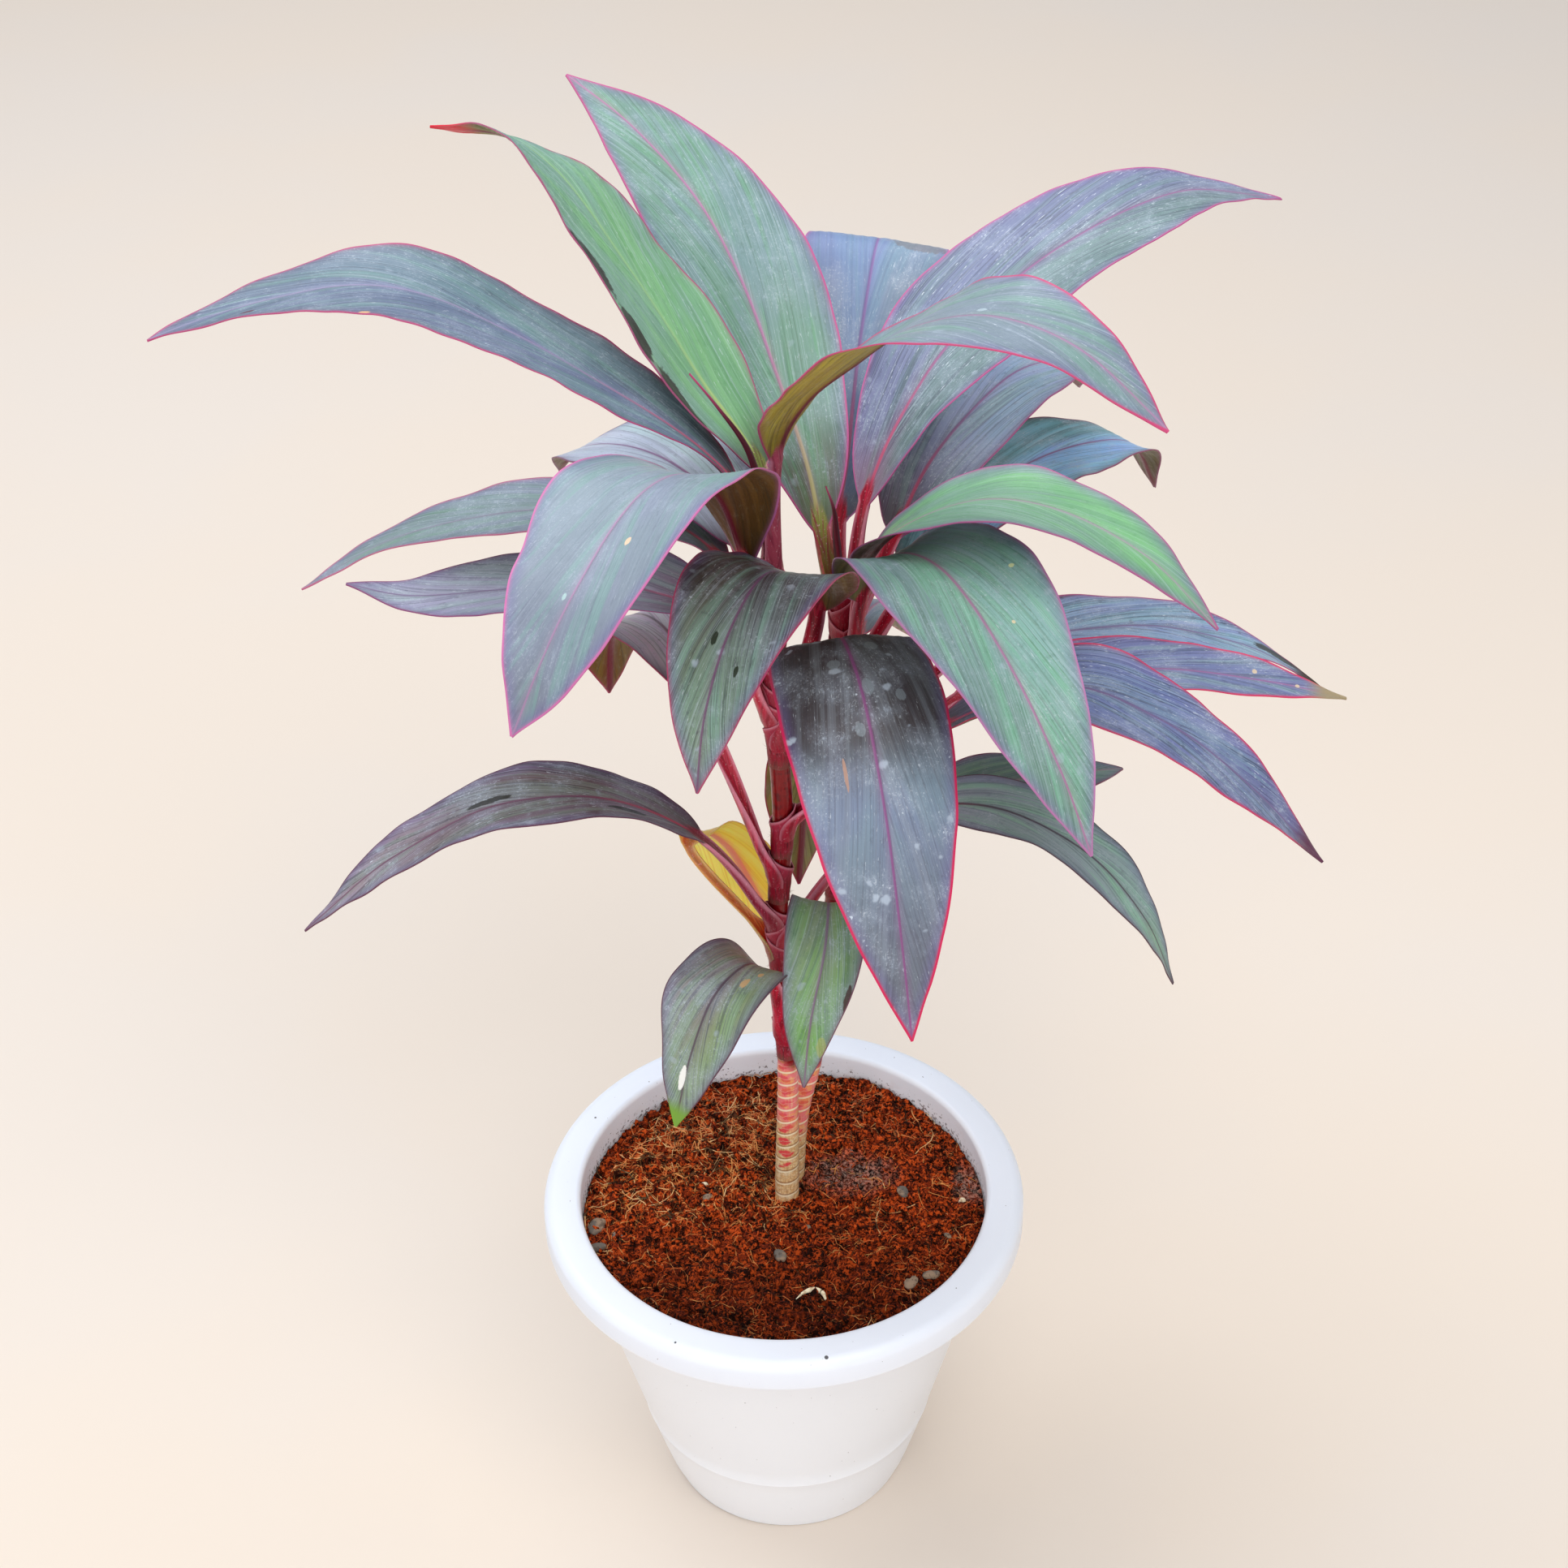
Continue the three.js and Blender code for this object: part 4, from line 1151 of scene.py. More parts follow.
# Leaves of each cane, from the lowest up
FRONT_LEAVES = (
    LeafPlan(
        238, 40, ((-3, -14, 289), (-13, -36, 315), (-25, -54, 315), (-35, -62, 291), (-42, -65, 257)),
        LeafFinish(
            base="#877f76", far="#84a172", left="#85a161", clouds="#928d92", streak="#8bab86", darks=0.7,
            margin="#5b3346", margin_width=0.4, rib="#55404e", dust=0.7, dashes=0.5, spots=0.5,
            neck="#3c322a", tip="#6f9a2c", marks=(Mark(-7.5, 0.40, 1.5, 0.024, "#d8b078"),
            Mark(-10.0, 0.34, 1.1, 0.014, "#d8b078"), Mark(1.1, 0.80, 1.5, 0.05, "#f4f2ea", 0.95)),
        ),
    ),
    LeafPlan(
        282, 30, ((-35, 12, 338), (-30, 21, 338), (-21, 30, 325), (-13, 35, 305), (-6, 37, 285),
        (-1, 37, 271)), LeafFinish(
            slot="dying_leaf", base="#ffd444", left="#fff090", clouds="#ffbe4c", streak="#ffe858",
            flush="#f0d070", dark="#f4a84c", darks=0.2, margin="#e8b860", margin_width=0.3, rib="#e89c7c",
            # Its under face is painted lighter than its upper face: a painted glow for light that shines
            # through the leaf
            dust=0.0, dashes=0.15, spots=0.1, neck="#e4b04c", under="#ffe070", under_streak="#ffd048",
            under_rib="#e8987c", under_dark="#eea83c", stalk="#b8783c", stalk_deep="#9c6a38",
            stalk_light="#e4c46a", stalk_edge="#e8c880", sheer=0.7,
        ), side=150, face=90, slimness=0.6, cups=(20.0, 4.0, 4.0),
    ),
    LeafPlan(
        289, 35, ((36, 8, 344), (60, 4, 361), (88, -3, 364), (120, -18, 354), (143, -28, 329),
        (156, -32, 298)), LeafFinish(
            base="#90a4a6", far="#83ad8f", clouds="#999eb3", streak="#8cc59f", margin="#4e2c3c",
            margin_width=0.35, rib="#4c3d4c", dust=0.6,
        ), side=-10, swell=0.9,
    ),
    LeafPlan(
        297, 37, ((-29, -10, 358), (-63, -20, 385), (-103, -28, 390), (-144, -32, 370), (-183, -35, 336)),
        LeafFinish(
            base="#6e5b5d", far="#9e8e92", clouds="#827086", streak="#7b8b7b", dark="#332c34", darks=0.7,
            margin="#5d2a44", margin_width=0.35, rib="#6d3f58", dust=0.7, dashes=0.8, stalk="#8c1032",
            marks=(Mark(3.4, 0.50, 1.6, 0.05, "#1d1a10"), Mark(-4.8, 0.21, 1.5, 0.045, "#1d1a10"),
            Mark(-12.0, 0.62, 0.8, 0.014, "#3a2a20")),
        ),
    ),
    LeafPlan(
        322, 52, ((-30, 0, 421), (-38, 25, 428), (-52, 55, 420), (-65, 82, 393), (-69, 95, 355)),
        LeafFinish(
            base="#e0c8dc", clouds="#e6cef6", streak="#e6eef0", dark="#38303c", darks=0.7, margin="#a82c56",
            rib="#6a4460", dust=0.6, dashes=0.6, under="#6b4c18", under_streak="#7d6324",
        ),
    ),
    LeafPlan(
        345, 49, ((62, 2, 399), (109, -6, 424), (144, -22, 419), (177, -35, 398), (207, -42, 366)),
        LeafFinish(
            base="#6b77a5", near="#504d6a", near_reach=(0.4, 0.05), far="#636089", clouds="#7378aa",
            streak="#7591a0", dark="#2c3048", darks=0.8, margin="#c0335e", margin_width=0.75, rib="#77608a",
            dust=0.8, dashes=0.8, tip="#5c2a44",
        ), side=-10,
    ),
    LeafPlan(
        389, 52, ((17, 1, 456), (11, -20, 483), (-2, -47, 502), (-15, -76, 496), (-23, -92, 476),
        (-27, -98, 445)), LeafFinish(
            base="#6a7675", near="#382a2c", near_reach=(0.68, 0.42), far="#779376", right="#4f443d",
            clouds="#747388", streak="#779d8c", dark="#37333c", darks=0.7, margin="#a8385e",
            margin_width=0.45, rib="#6d4566", dust=0.6, spots=0.7,
            marks=(Mark(4.2, 0.65, 1.1, 0.018, "#16200c"), Mark(-7.4, 0.71, 0.9, 0.012, "#1c2410"),
            Mark(21.0, 0.52, 4.0, 0.05, "#2c201c", 0.5)),
        ), side=-40,
    ),
    LeafPlan(
        398, 52, ((-16, -5, 456), (-37, -1, 464), (-68, 12, 463), (-104, 22, 454), (-139, 26, 449),
        (-161, 26, 455)), LeafFinish(
            base="#9c9cb2", near="#876374", clouds="#9b98b6", streak="#96afac", margin="#8c4572",
            margin_width=0.35, rib="#7d6c8c", dust=0.8, dashes=0.8,
        ), side=190,
    ),
    LeafPlan(
        408, 40, ((-17, 20, 464), (-43, 36, 477), (-77, 47, 474), (-109, 54, 467), (-144, 58, 456),
        (-184, 56, 434)), replace(
            GREEN, base="#7c8f92", far="#798b87", clouds="#868ca6", streak="#79a089", margin="#b8607e",
            rib="#8c8898", dust=0.8, dashes=0.8,
        ), side=150,
    ),
    LeafPlan(
        418, 54, ((-13, 27, 470), (-22, 38, 484), (-35, 50, 490), (-53, 70, 487), (-74, 92, 474),
        (-84, 104, 457)), LeafFinish(
            base="#d6e1f2", far="#cac9d6", clouds="#cbd0ea", streak="#c2e2dc", lines=0.12, margin="#7d3c62",
            dust=0.8, dashes=0.7, under="#634a28",
        ), side=110,
    ),
    LeafPlan(
        428, 70, ((-9, -6, 481), (-17, -20, 517), (-27, -38, 538), (-42, -62, 546), (-62, -98, 534),
        (-76, -114, 512), (-87, -118, 485)), LeafFinish(
            base="#85949d", far="#787d8a", clouds="#878da2", streak="#759f92", streaks=0.5, lines=0.1,
            darks=0.2, margin="#c4689c", margin_width=0.8, rib="#a37f9e", dust=0.35, dashes=0.2, spots=0.2,
            under="#5c3c14", under_streak="#74501f", marks=(Mark(-9.9, 0.62, 1.0, 0.009, "#e8c4a0"),
            Mark(2.7, 0.74, 0.8, 0.008, "#b4d4cc", 0.6)),
        ), side=-120, swell=1.1, roll=(0, -14, -4),
    ),
    LeafPlan(
        438, 56, ((-11, 6, 504), (-23, 7, 521), (-54, 12, 543), (-93, 18, 566), (-132, 20, 582),
        (-171, 16, 581), (-217, 8, 569)), LeafFinish(
            base="#66748d", far="#606e84", left="#647088", right="#6d898c", clouds="#6d7094",
            streak="#699187", streaks=0.5, flush="#5a4468", flushes=0.45, margin="#b0406e",
            margin_width=0.6, rib="#8f86a4", dashes=0.6, marks=(Mark(-9.0, 0.84, 1.2, 0.012, "#5c1424"),
            Mark(-23.6, 0.66, 1.0, 0.01, "#d8a878")),
        ), side=180, swell=1.05,
    ),
    LeafPlan(
        447, 58, ((3, -8, 526), (13, -28, 560), (31, -48, 587), (49, -66, 608), (71, -84, 620),
        (97, -104, 619), (125, -118, 597)), replace(
            GREEN, base="#7d8e94", far="#727d8d", clouds="#848ca1", streak="#739e88", darks=0.3,
            margin="#c23f6e", margin_width=0.8, rib="#a57d9c", dust=0.3, under="#a48a24",
            under_streak="#bca634", stalk="#c04c62", stalk_deep="#983048", stalk_light="#dc828e",
            marks=(Mark(-4.0, 0.64, 1.2, 0.009, "#c8dade", 0.45),),
        ), side=-75, swell=1.05,
    ),
    LeafPlan(
        456, 51, ((-3, 18, 507), (-23, 30, 536), (-38, 42, 558), (-56, 58, 580), (-74, 74, 599),
        (-95, 88, 608), (-122, 98, 607)), replace(
            GREEN, base="#70a273", far="#74998c", clouds="#7e9d91", streak="#82b67b", streaks=0.5,
            flushes=0.15, dark="#3f7048", darks=0.35, margin="#a0486c", rib="#8fb880", rib_width=0.6,
            dust=0.1, dashes=0.35, spots=0.05, tip="#d41c34", stalk="#7c8a3a", stalk_deep="#5c1c24",
            stalk_light="#bcc468", marks=(Mark(-23.0, 0.50, 4.0, 0.08, "#2c1c12"),
            Mark(-22.5, 0.34, 4.0, 0.06, "#2c1c12"), Mark(-20.0, 0.20, 4.0, 0.08, "#2c1c12")),
        ), side=90, swell=0.7, roll=(0, -12, -40), pleat=0.4,
    ),
)
REAR_LEAVES = (
    LeafPlan(
        272, 32, ((19, -3, 304), (20, -22, 334), (18, -42, 327), (12, -54, 300), (9, -58, 270)), replace(
            GREEN, base="#77955b", near="#7f8b66", far="#6bae3c", clouds="#838f76", streak="#74ac58",
            darks=0.6, margin="#6f3a50", margin_width=0.4, rib="#80647c", dust=0.6, spots=0.5,
            marks=(Mark(-12.6, 0.63, 1.4, 0.05, "#3c1c14"), Mark(-5.3, 0.83, 2.0, 0.04, "#a8ac4c", 0.5)),
        ), side=-90,
    ),
    LeafPlan(
        308, 34, ((57, 34, 341), (80, 36, 346), (107, 40, 348), (127, 48, 344), (143, 58, 338)), replace(
            GREEN, base="#6f938a", clouds="#7b9a98", margin="#8c4664", margin_width=0.4,
        ), side=20,
    ),
    LeafPlan(
        322, 34, ((20, 48, 360), (16, 62, 352), (12, 76, 325), (11, 88, 288), (9, 94, 252)), replace(
            GREEN, base="#54805a", clouds="#5f8a6c", margin="#9c2c4c", margin_width=0.5,
        ), side=95,
    ),
    LeafPlan(
        338, 40, ((73, 34, 392), (114, 36, 400), (152, 36, 402), (193, 33, 398), (225, 30, 390)),
        LeafFinish(
            base="#7581ae", far="#6a7498", clouds="#7d81b2", dark="#404866", darks=0.85, margin="#d0305e",
            margin_width=0.8, rib="#9c6a9a", dust=0.9, dashes=0.8, tip="#9c8a68",
            marks=(Mark(-4.4, 0.76, 1.2, 0.007, "#d8c0a0"), Mark(-0.4, 0.87, 1.0, 0.006, "#d8c0a0")),
        ), side=5,
    ),
    LeafPlan(
        352, 42, ((74, 66, 389), (119, 86, 387), (156, 97, 382), (198, 100, 369), (230, 96, 350)),
        LeafFinish(
            base="#87a5c5", clouds="#8b90c1", streak="#87b4b7", darks=0.85, margin="#ac4c7a", rib="#7d6a92",
            dust=0.9, dashes=0.9, tip="#3c2c20", marks=(Mark(-4.5, 0.86, 3.0, 0.07, "#2a2a1c"),),
        ), side=35,
    ),
    LeafPlan(
        365, 44, ((33, 52, 410), (43, 85, 404), (54, 120, 376), (63, 155, 338)), LeafFinish(
            base="#70809a", clouds="#7a86a4",
        ), side=75,
    ),
    LeafPlan(
        376, 62, ((27, -2, 418), (25, -30, 464), (31, -66, 467), (38, -98, 440), (43, -114, 401),
        (48, -120, 348)), LeafFinish(
            base="#7d94a4", near="#33201a", near_reach=(0.61, 0.46), far="#5f5f69", clouds="#7b85a5",
            streak="#8b949e", streaks=0.3, lines=0.07, dark="#2e2430", darks=0.34, margin="#cc1250",
            margin_width=1.1, rib="#8a4a80", dust=0.65, spots=1.0, roughness=0.5,
            marks=(Mark(11.5, 0.535, 0.7, 0.028, "#b88a70", 0.75),
            Mark(-8.5, 0.30, 2.6, 0.014, "#8e9aa2", 0.5), Mark(-2.5, 0.40, 2.2, 0.016, "#8e9aa2", 0.5),
            Mark(7.0, 0.34, 2.4, 0.012, "#8e9aa2", 0.45), Mark(-13.5, 0.42, 2.0, 0.012, "#8e9aa2", 0.45),
            Mark(3.5, 0.47, 1.8, 0.012, "#8e9aa2", 0.45)),
        ), side=-90, cups=(24.0, -28.0, -12.0, 4.0),
    ),
    LeafPlan(
        387, 61, ((34, 6, 457), (45, -12, 488), (61, -44, 500), (80, -84, 490), (97, -108, 462),
        (109, -118, 430)), replace(
            GREEN, base="#77a893", far="#729081", left="#8bb7b1", right="#758a8d", clouds="#81a4a6",
            streak="#73b28c", margin="#b0709e", margin_width=0.7, rib="#a87296", spots=0.4,
            marks=(Mark(-21.5, 0.43, 1.1, 0.005, "#d8e0a8"), Mark(-10.0, 0.55, 0.7, 0.004, "#d8c8a0")),
        ), side=-60,
    ),
    LeafPlan(
        397, 54, ((53, 38, 442), (77, 72, 457), (111, 104, 460), (147, 130, 450), (161, 142, 422)),
        LeafFinish(
            base="#8ab8e4", left="#578c74", clouds="#96b1f2", streak="#91cee0", flush="#3c5a46",
            margin="#8c4062", margin_width=0.4, dust=0.9, dashes=0.6, under="#4f4210",
            under_streak="#5f5418",
        ), side=25,
    ),
    LeafPlan(
        407, 44, ((34, 14, 462), (49, -6, 496), (78, -22, 516), (102, -36, 519), (130, -50, 509),
        (156, -60, 484)), replace(
            GREEN, base="#71a977", near="#6c8a6d", clouds="#7da18f", streak="#7cbb7b", streaks=0.6,
            darks=0.25, margin="#a85484", rib="#a49aa0", dust=0.15, dashes=0.2, spots=0.1, under="#4a3c10",
            under_streak="#5c4a1c",
        ), side=-30,
    ),
    LeafPlan(
        416, 52, ((48, 50, 458), (60, 64, 478), (77, 84, 490), (97, 110, 494), (116, 135, 485),
        (129, 160, 460)), LeafFinish(
            base="#8ba7c2", near="#766d7e", clouds="#9a9ac5", darks=0.6, margin="#a04a7e", dust=0.9,
            dashes=0.7,
        ), side=55,
    ),
    LeafPlan(
        425, 58, ((26, 48, 466), (30, 66, 482), (36, 100, 514), (44, 133, 541), (49, 172, 504),
        (52, 202, 460)), LeafFinish(
            base="#758bae", right="#8092a3", clouds="#7783ad", streak="#6d96a2", streaks=0.3, lines=0.06,
            dark="#4c5878", darks=0.25, margin="#b0609c", rib="#86669c", dust=0.9, spots=0.6,
            marks=(Mark(16.0, 0.525, 12.0, 0.022, "#77695f", 0.5),),
        ), side=95, cups=(28.0, -4.0, -8.0), roll=(0, -5, -5),
    ),
    LeafPlan(
        433, 66, ((36, 36, 481), (53, 50, 516), (74, 66, 538), (112, 88, 560), (157, 112, 569),
        (200, 130, 557)), LeafFinish(
            base="#727b8b", near="#7a677c", left="#71799a", right="#69867c", clouds="#767595",
            streak="#6e8e84", streaks=0.5, darks=0.65, margin="#b8548a", rib="#98648f", dust=0.7,
            dashes=0.9, spots=0.5, neck="#9c7a8c",
        ), side=40, swell=0.85,
    ),
    LeafPlan(
        441, 60, ((19, 33, 471), (15, 44, 490), (4, 68, 517), (-10, 96, 546), (-27, 122, 567),
        (-49, 146, 583), (-76, 168, 597)), replace(
            GREEN, base="#6d9180", near="#4e4c34", near_reach=(0.24, 0.07), clouds="#798f98",
            streak="#679e74", streaks=0.6, margin="#b84c82", margin_width=0.7, rib="#b0749a", dust=0.45,
            neck="#5c5a34", stalk="#8a8c40", stalk_deep="#8c2038", stalk_light="#b4b45c",
            stalk_edge="#c0305c",
        ), side=140, face=112, swell=0.92,
    ),
)
LEAVES = [
    replace(plan, name=f"{crown}_leaf_{number:02d}")
    for crown, plans in (("front", FRONT_LEAVES), ("rear", REAR_LEAVES))
    for number, plan in enumerate(plans, 1)
]


# Leaf bases


@dataclass(frozen=True)
class SleeveFinish:
    """Leaf bases round a cane: dusky purple-red and scurfy, hairy below and pale along the split."""

    skin: str = "#960f28"
    deep: str = "#540616"
    bright: str = "#c43a58"
    scurf: str = "#be7882"
    hair: str = "#74463a"
    pale_hair: str = "#c9a88c"
    edge: str = "#f0aab8"

    def material(self) -> Material:
        """Tough leaf-base skin: dull and scurfy, with a faint sheen."""
        look = Finish("leaf base skin, scurfy")
        share, to_top, _, _ = look.attribute("sleeve")
        scurf = look.grain(look.place, (1.0 * MM, 1.0 * MM, 2.2 * MM), 4.0, 0.7)
        stripes = look.grain(look.place, (0.6 * MM, 0.6 * MM, 9 * MM), 3.0)
        upwards = look.add("Math", {0: scurf, 1: 0.6, 2: share}, operation="MULTIPLY_ADD")[0]
        colour = look.coated(self.skin, [
            Coat(stripes, 0.46, 0.66, self.deep, 0.8),
            Coat(share, 0.45, 1.0, self.bright, 0.5),
            Coat(scurf, 0.54, 0.68, self.scurf, 0.35),
            Coat(upwards, 0.52, 0.3, self.hair, 0.7),
            Coat(to_top, 1.8, 0.0, self.edge, 0.45),
        ])
        look.relief(scurf, 0.5, 0.3)
        return look.finished(colour, Roughness=0.5, IOR=1.45, Specular_IOR_Level=0.35)

    def hairs(self) -> Material:
        """Short scurfy hairs, dry and brown."""
        look = Finish("leaf base hairs, dry")
        colour = look.coated(self.hair, [Coat(look.clumps(2, 2.0), 0.4, 0.6, self.pale_hair, 0.8)])
        return look.finished(colour, Roughness=0.7)


@dataclass(frozen=True)
class Sleeves:
    """Leaf bases round one cane, in millimetres.

    Each is closed below and open in a V opposite its petiole. hair_reach is how far up a base its
    hairs grow, hair_crowding how they gather at its foot and hair_tilt how they lean down and up.
    """

    cane: Cane
    below: float = 8.5
    split: float = 6.5
    rise: float = 10.0
    wall: float = 0.4
    clear_low: float = 0.35
    clear_high: float = 1.0
    flare: float = 0.5
    flare_from: float = 0.8
    flare_ease: float = 0.2
    uneven: float = 0.15
    uneven_pitch: float = 3.0
    columns: int = 40
    rows: int = 12
    hairs_each: int = 44
    hair_length: float = 1.9
    hair_thick: float = 0.13
    hair_reach: float = 0.75
    hair_crowding: float = 2.2
    hair_tilt: tuple[float, float] = (-0.9, 1.6)
    hair_sizes: tuple[float, float] = (0.4, 1.2)

    @property
    def plans(self) -> list[LeafPlan]:
        """Leaves of the cane, from the lowest up."""
        return sorted((plan for plan in LEAVES if plan.cane is self.cane), key=lambda plan: plan.foot)

    def skin_spot(self, height: float, angle: float, share: float) -> Vector:
        """Finds a point on a leaf base.

        Args:
            height: the height in millimetres.
            angle: the compass angle.
            share: how far up the base it is, from 0 to 1.

        Returns:
            The point, in metres.
        """
        out = self.cane.radius(height) + self.cane.skin + lerp(self.clear_low, self.clear_high, share)
        bumps = self.uneven * ripple(angle * 2, height / self.uneven_pitch, share)
        out += self.flare * smooth((share - self.flare_from) / self.flare_ease) + bumps
        return self.cane.at(height) + Vector((math.cos(angle), math.sin(angle), 0)) * out * MM

    def build(self, material: Material) -> Object:
        """Wraps a thin sheet round the cane under each leaf."""
        bm = bmesh.new()
        sleeve = bm.verts.layers.float_vector.new("sleeve")
        for plan in self.plans:
            grid = bmesh.ops.create_grid(bm, x_segments=self.columns, y_segments=self.rows, size=1)
            for corner in grid["verts"]:
                around, share = corner.co.x * math.pi, (corner.co.y + 1) / 2
                top = self.split + self.rise * (1 - abs(around) / math.pi)
                height = plan.foot + lerp(-self.below, top, share)
                corner.co = self.skin_spot(height, plan.petiole_side + around, share)
                corner[sleeve] = (share, (top + self.below) * (1 - share), 0)
        bmesh.ops.remove_doubles(bm, verts=bm.verts, dist=WELD)
        bmesh.ops.solidify(bm, geom=bm.faces[:], thickness=self.wall * MM)
        return finished_object(bm, f"{self.cane.name}_leaf_bases", material, SHEET_CREASE)

    def hairs(self, material: Material) -> Object:
        """Sets short hairs on the leaf bases, most of them near their lower edge."""
        draws = random.Random(SEED)
        bm = bmesh.new()
        for plan in self.plans:
            for _ in range(self.hairs_each):
                angle = draws.uniform(0, 2 * math.pi)
                share = self.hair_reach * draws.random() ** self.hair_crowding
                height = plan.foot + lerp(-self.below, self.split, share)
                root = self.skin_spot(height, angle, share)
                out = Vector((math.cos(angle), math.sin(angle), draws.uniform(*self.hair_tilt))).normalized()
                length = self.hair_length * draws.uniform(*self.hair_sizes) * MM
                turn = out.to_track_quat("Z", "Y").to_matrix().to_4x4()
                matrix = Matrix.Translation(root + out * length / 2) @ turn
                size = {"radius1": self.hair_thick / 2 * MM, "radius2": 0.0, "depth": length}
                bmesh.ops.create_cone(bm, segments=3, matrix=matrix, **size)
        return finished_object(bm, f"{self.cane.name}_leaf_base_hairs", material)


# Spears


@dataclass(frozen=True)
class Spear:
    """Young leaf, still rolled into a spear in the middle of its crown."""

    name: str
    line: tuple[Spot, ...]
    foot_radius: float = 2.0
    belly_radius: float = 1.7
    belly: float = 0.3
    tip_radius: float = 0.3
    turns: float = 1.35
    twist: float = 1.2
    inner_turn: float = 0.72
    wall: float = 0.35
    gap: float = 0.3
    columns: int = 40
    rows: int = 70

    def radius(self, share: float) -> float:
        """Radius of the roll at a share of its length, in millimetres."""
        grown = lerp(self.foot_radius, self.belly_radius, smooth(share / self.belly))
        return lerp(grown, self.tip_radius, smooth((share - self.belly) / (1 - self.belly)))

    def build(self, material: Material) -> Object:
        """Rolls a thin sheet round the spear's line."""
        cane = CANES[self.name.split("_")[0]]
        foot = cane.at(cane.ends[1]) / MM + Vector((0, 0, self.gap))
        line = SmoothLine([foot, *self.line])
        bm = bmesh.new()
        bmesh.ops.create_grid(bm, x_segments=self.columns, y_segments=self.rows, size=1)
        roll = bm.verts.layers.float_vector.new("roll")
        for corner in bm.verts:
            across, share = (corner.co.x + 1) / 2, (corner.co.y + 1) / 2
            tangent = line.heading(share)
            right = Vector((0, -1, 0))
            right = (right - tangent * right.dot(tangent)).normalized()
            up = right.cross(tangent)
            angle = 2 * math.pi * self.turns * across + self.twist * share
            radius = self.radius(share) * lerp(self.inner_turn, 1.0, across)
            corner.co = line.along(share) + (right * math.cos(angle) + up * math.sin(angle)) * radius * MM
            corner[roll] = (across, share, self.radius(share))
        bmesh.ops.solidify(bm, geom=bm.faces[:], thickness=self.wall * MM)
        return finished_object(bm, f"{self.name}_roll", material, SHEET_CREASE)


@dataclass(frozen=True)
class SpearFinish:
    """Young rolled leaf: dark red and waxy, pinker at its tip."""

    base: str = "#4c1420"
    streak: str = "#86283c"
    tip: str = "#d0507c"
    edge: str = "#e88aa6"

    def material(self) -> Material:
        """Waxy young leaf skin, with a soft gloss along the roll."""
        look = Finish("young rolled leaf, waxy skin")
        across, share, _, whole = look.attribute("roll")
        colour = look.coated(self.base, [
            Coat(look.grain(whole, (0.06, 0.9, 9), 3.0), 0.45, 0.65, self.streak, 0.8),
            Coat(share, 0.7, 1.0, self.tip, 0.85),
            Coat(across, 0.965, 0.985, self.edge, 0.9),
        ])
        look.relief(look.grain(whole, (0.03, 0.9, 9), 2.0), 0.4, 0.2)
        return look.finished(colour, Roughness=0.38, IOR=1.47)


# Pot


@dataclass(frozen=True)
class PotFinish:
    """White moulded plastic with a little dirt from potting.

    inside_edge is two distances from the axis, and splash_top and soil_line two heights, between
    which a zone comes in. They and the dark specks' places and sizes are metres.
    """

    # The whites lean blue: a painted tint for cool daylight
    white: str = "#eaeffb"
    # inside is painted light: a brighter white for the inner wall, which lies in shade under the plant
    inside: str = "#fbfcff"
    shade: str = "#e4e9f3"
    dirt: str = "#4a2a1a"
    smear: str = "#c9b7a4"
    speck: str = "#2c211c"
    inside_edge: tuple[float, float] = (0.0895, 0.087)
    splash_top: tuple[float, float] = (0.158, 0.1475)
    soil_line: tuple[float, float] = (0.1435, 0.144)
    specks: tuple[tuple[Spot, float], ...] = (
        ((0.0163, -0.0985, 0.1595), 0.0009), ((0.0148, -0.0990, 0.1592), 0.0005),
        ((-0.045, -0.089, 0.1597), 0.0005), ((-0.083, 0.045, 0.1597), 0.0006),
        ((0.071, -0.062, 0.1597), 0.0004), ((0.02, 0.0945, 0.1597), 0.0006),
    )

    def material(self) -> Material:
        """Thin moulded polypropylene: smooth, softly glossy, faintly translucent."""
        look = Finish("white polypropylene, moulded")
        height = look.add("SeparateXYZ", {"Vector": look.place})["Z"]
        flat = look.add("Mapping", {"Vector": look.place, "Scale": (1.0, 1.0, 0.0)})["Vector"]
        out = look.add("VectorMath", {0: flat}, operation="LENGTH")["Value"]
        zones = [(out, self.inside_edge), (height, self.splash_top), (height, self.soil_line)]
        inside, low, above = (
            look.add("MapRange", {"Value": value, "From Min": none_at, "From Max": full_at})["Result"]
            for value, (none_at, full_at) in zones
        )
        splash = look.add("Math", {0: inside, 1: low}, operation="MULTIPLY")[0]
        splash = look.add("Math", {0: splash, 1: above}, operation="MULTIPLY")[0]
        crumbs = look.clumps(1.8, 4.0, 0.7)
        crumbs = look.add("Math", {0: splash, 1: 0.25, 2: crumbs}, operation="MULTIPLY_ADD")[0]
        smears = look.grain(look.place, (14 * MM, 14 * MM, 9 * MM), 4.0, 0.6)
        patches = look.grain(look.place, (60 * MM, 60 * MM, 40 * MM), 2.0)
        coats = [
            Coat(patches, 0.4, 0.7, self.shade, 0.4),
            # Painted light: the inner wall gets the brighter white, to lift its shade
            Coat(inside, 0.0, 1.0, self.inside),
            Coat(smears, 0.52, 0.75, self.smear, 0.4, splash),
            Coat(crumbs, 0.74, 0.775, self.dirt, 0.9, inside),
            Coat(look.clumps(1.4, 1.0), 0.8, 0.82, self.dirt, 0.8),
        ]
        for spot, size in self.specks:
            coats.append(Coat(look.away_from(look.place, spot, (size,) * 3), 1.1, 0.9, self.speck, 0.9))
        look.relief(look.clumps(1.1, 2.0), 0.08, 0.1)
        through = {"Subsurface_Weight": 0.6, "Subsurface_Scale": 0.006, "Subsurface_Radius": (1.0, 1.0, 1.0)}
        return look.finished(look.coated(self.white, coats), Roughness=0.38, IOR=1.49, **through)


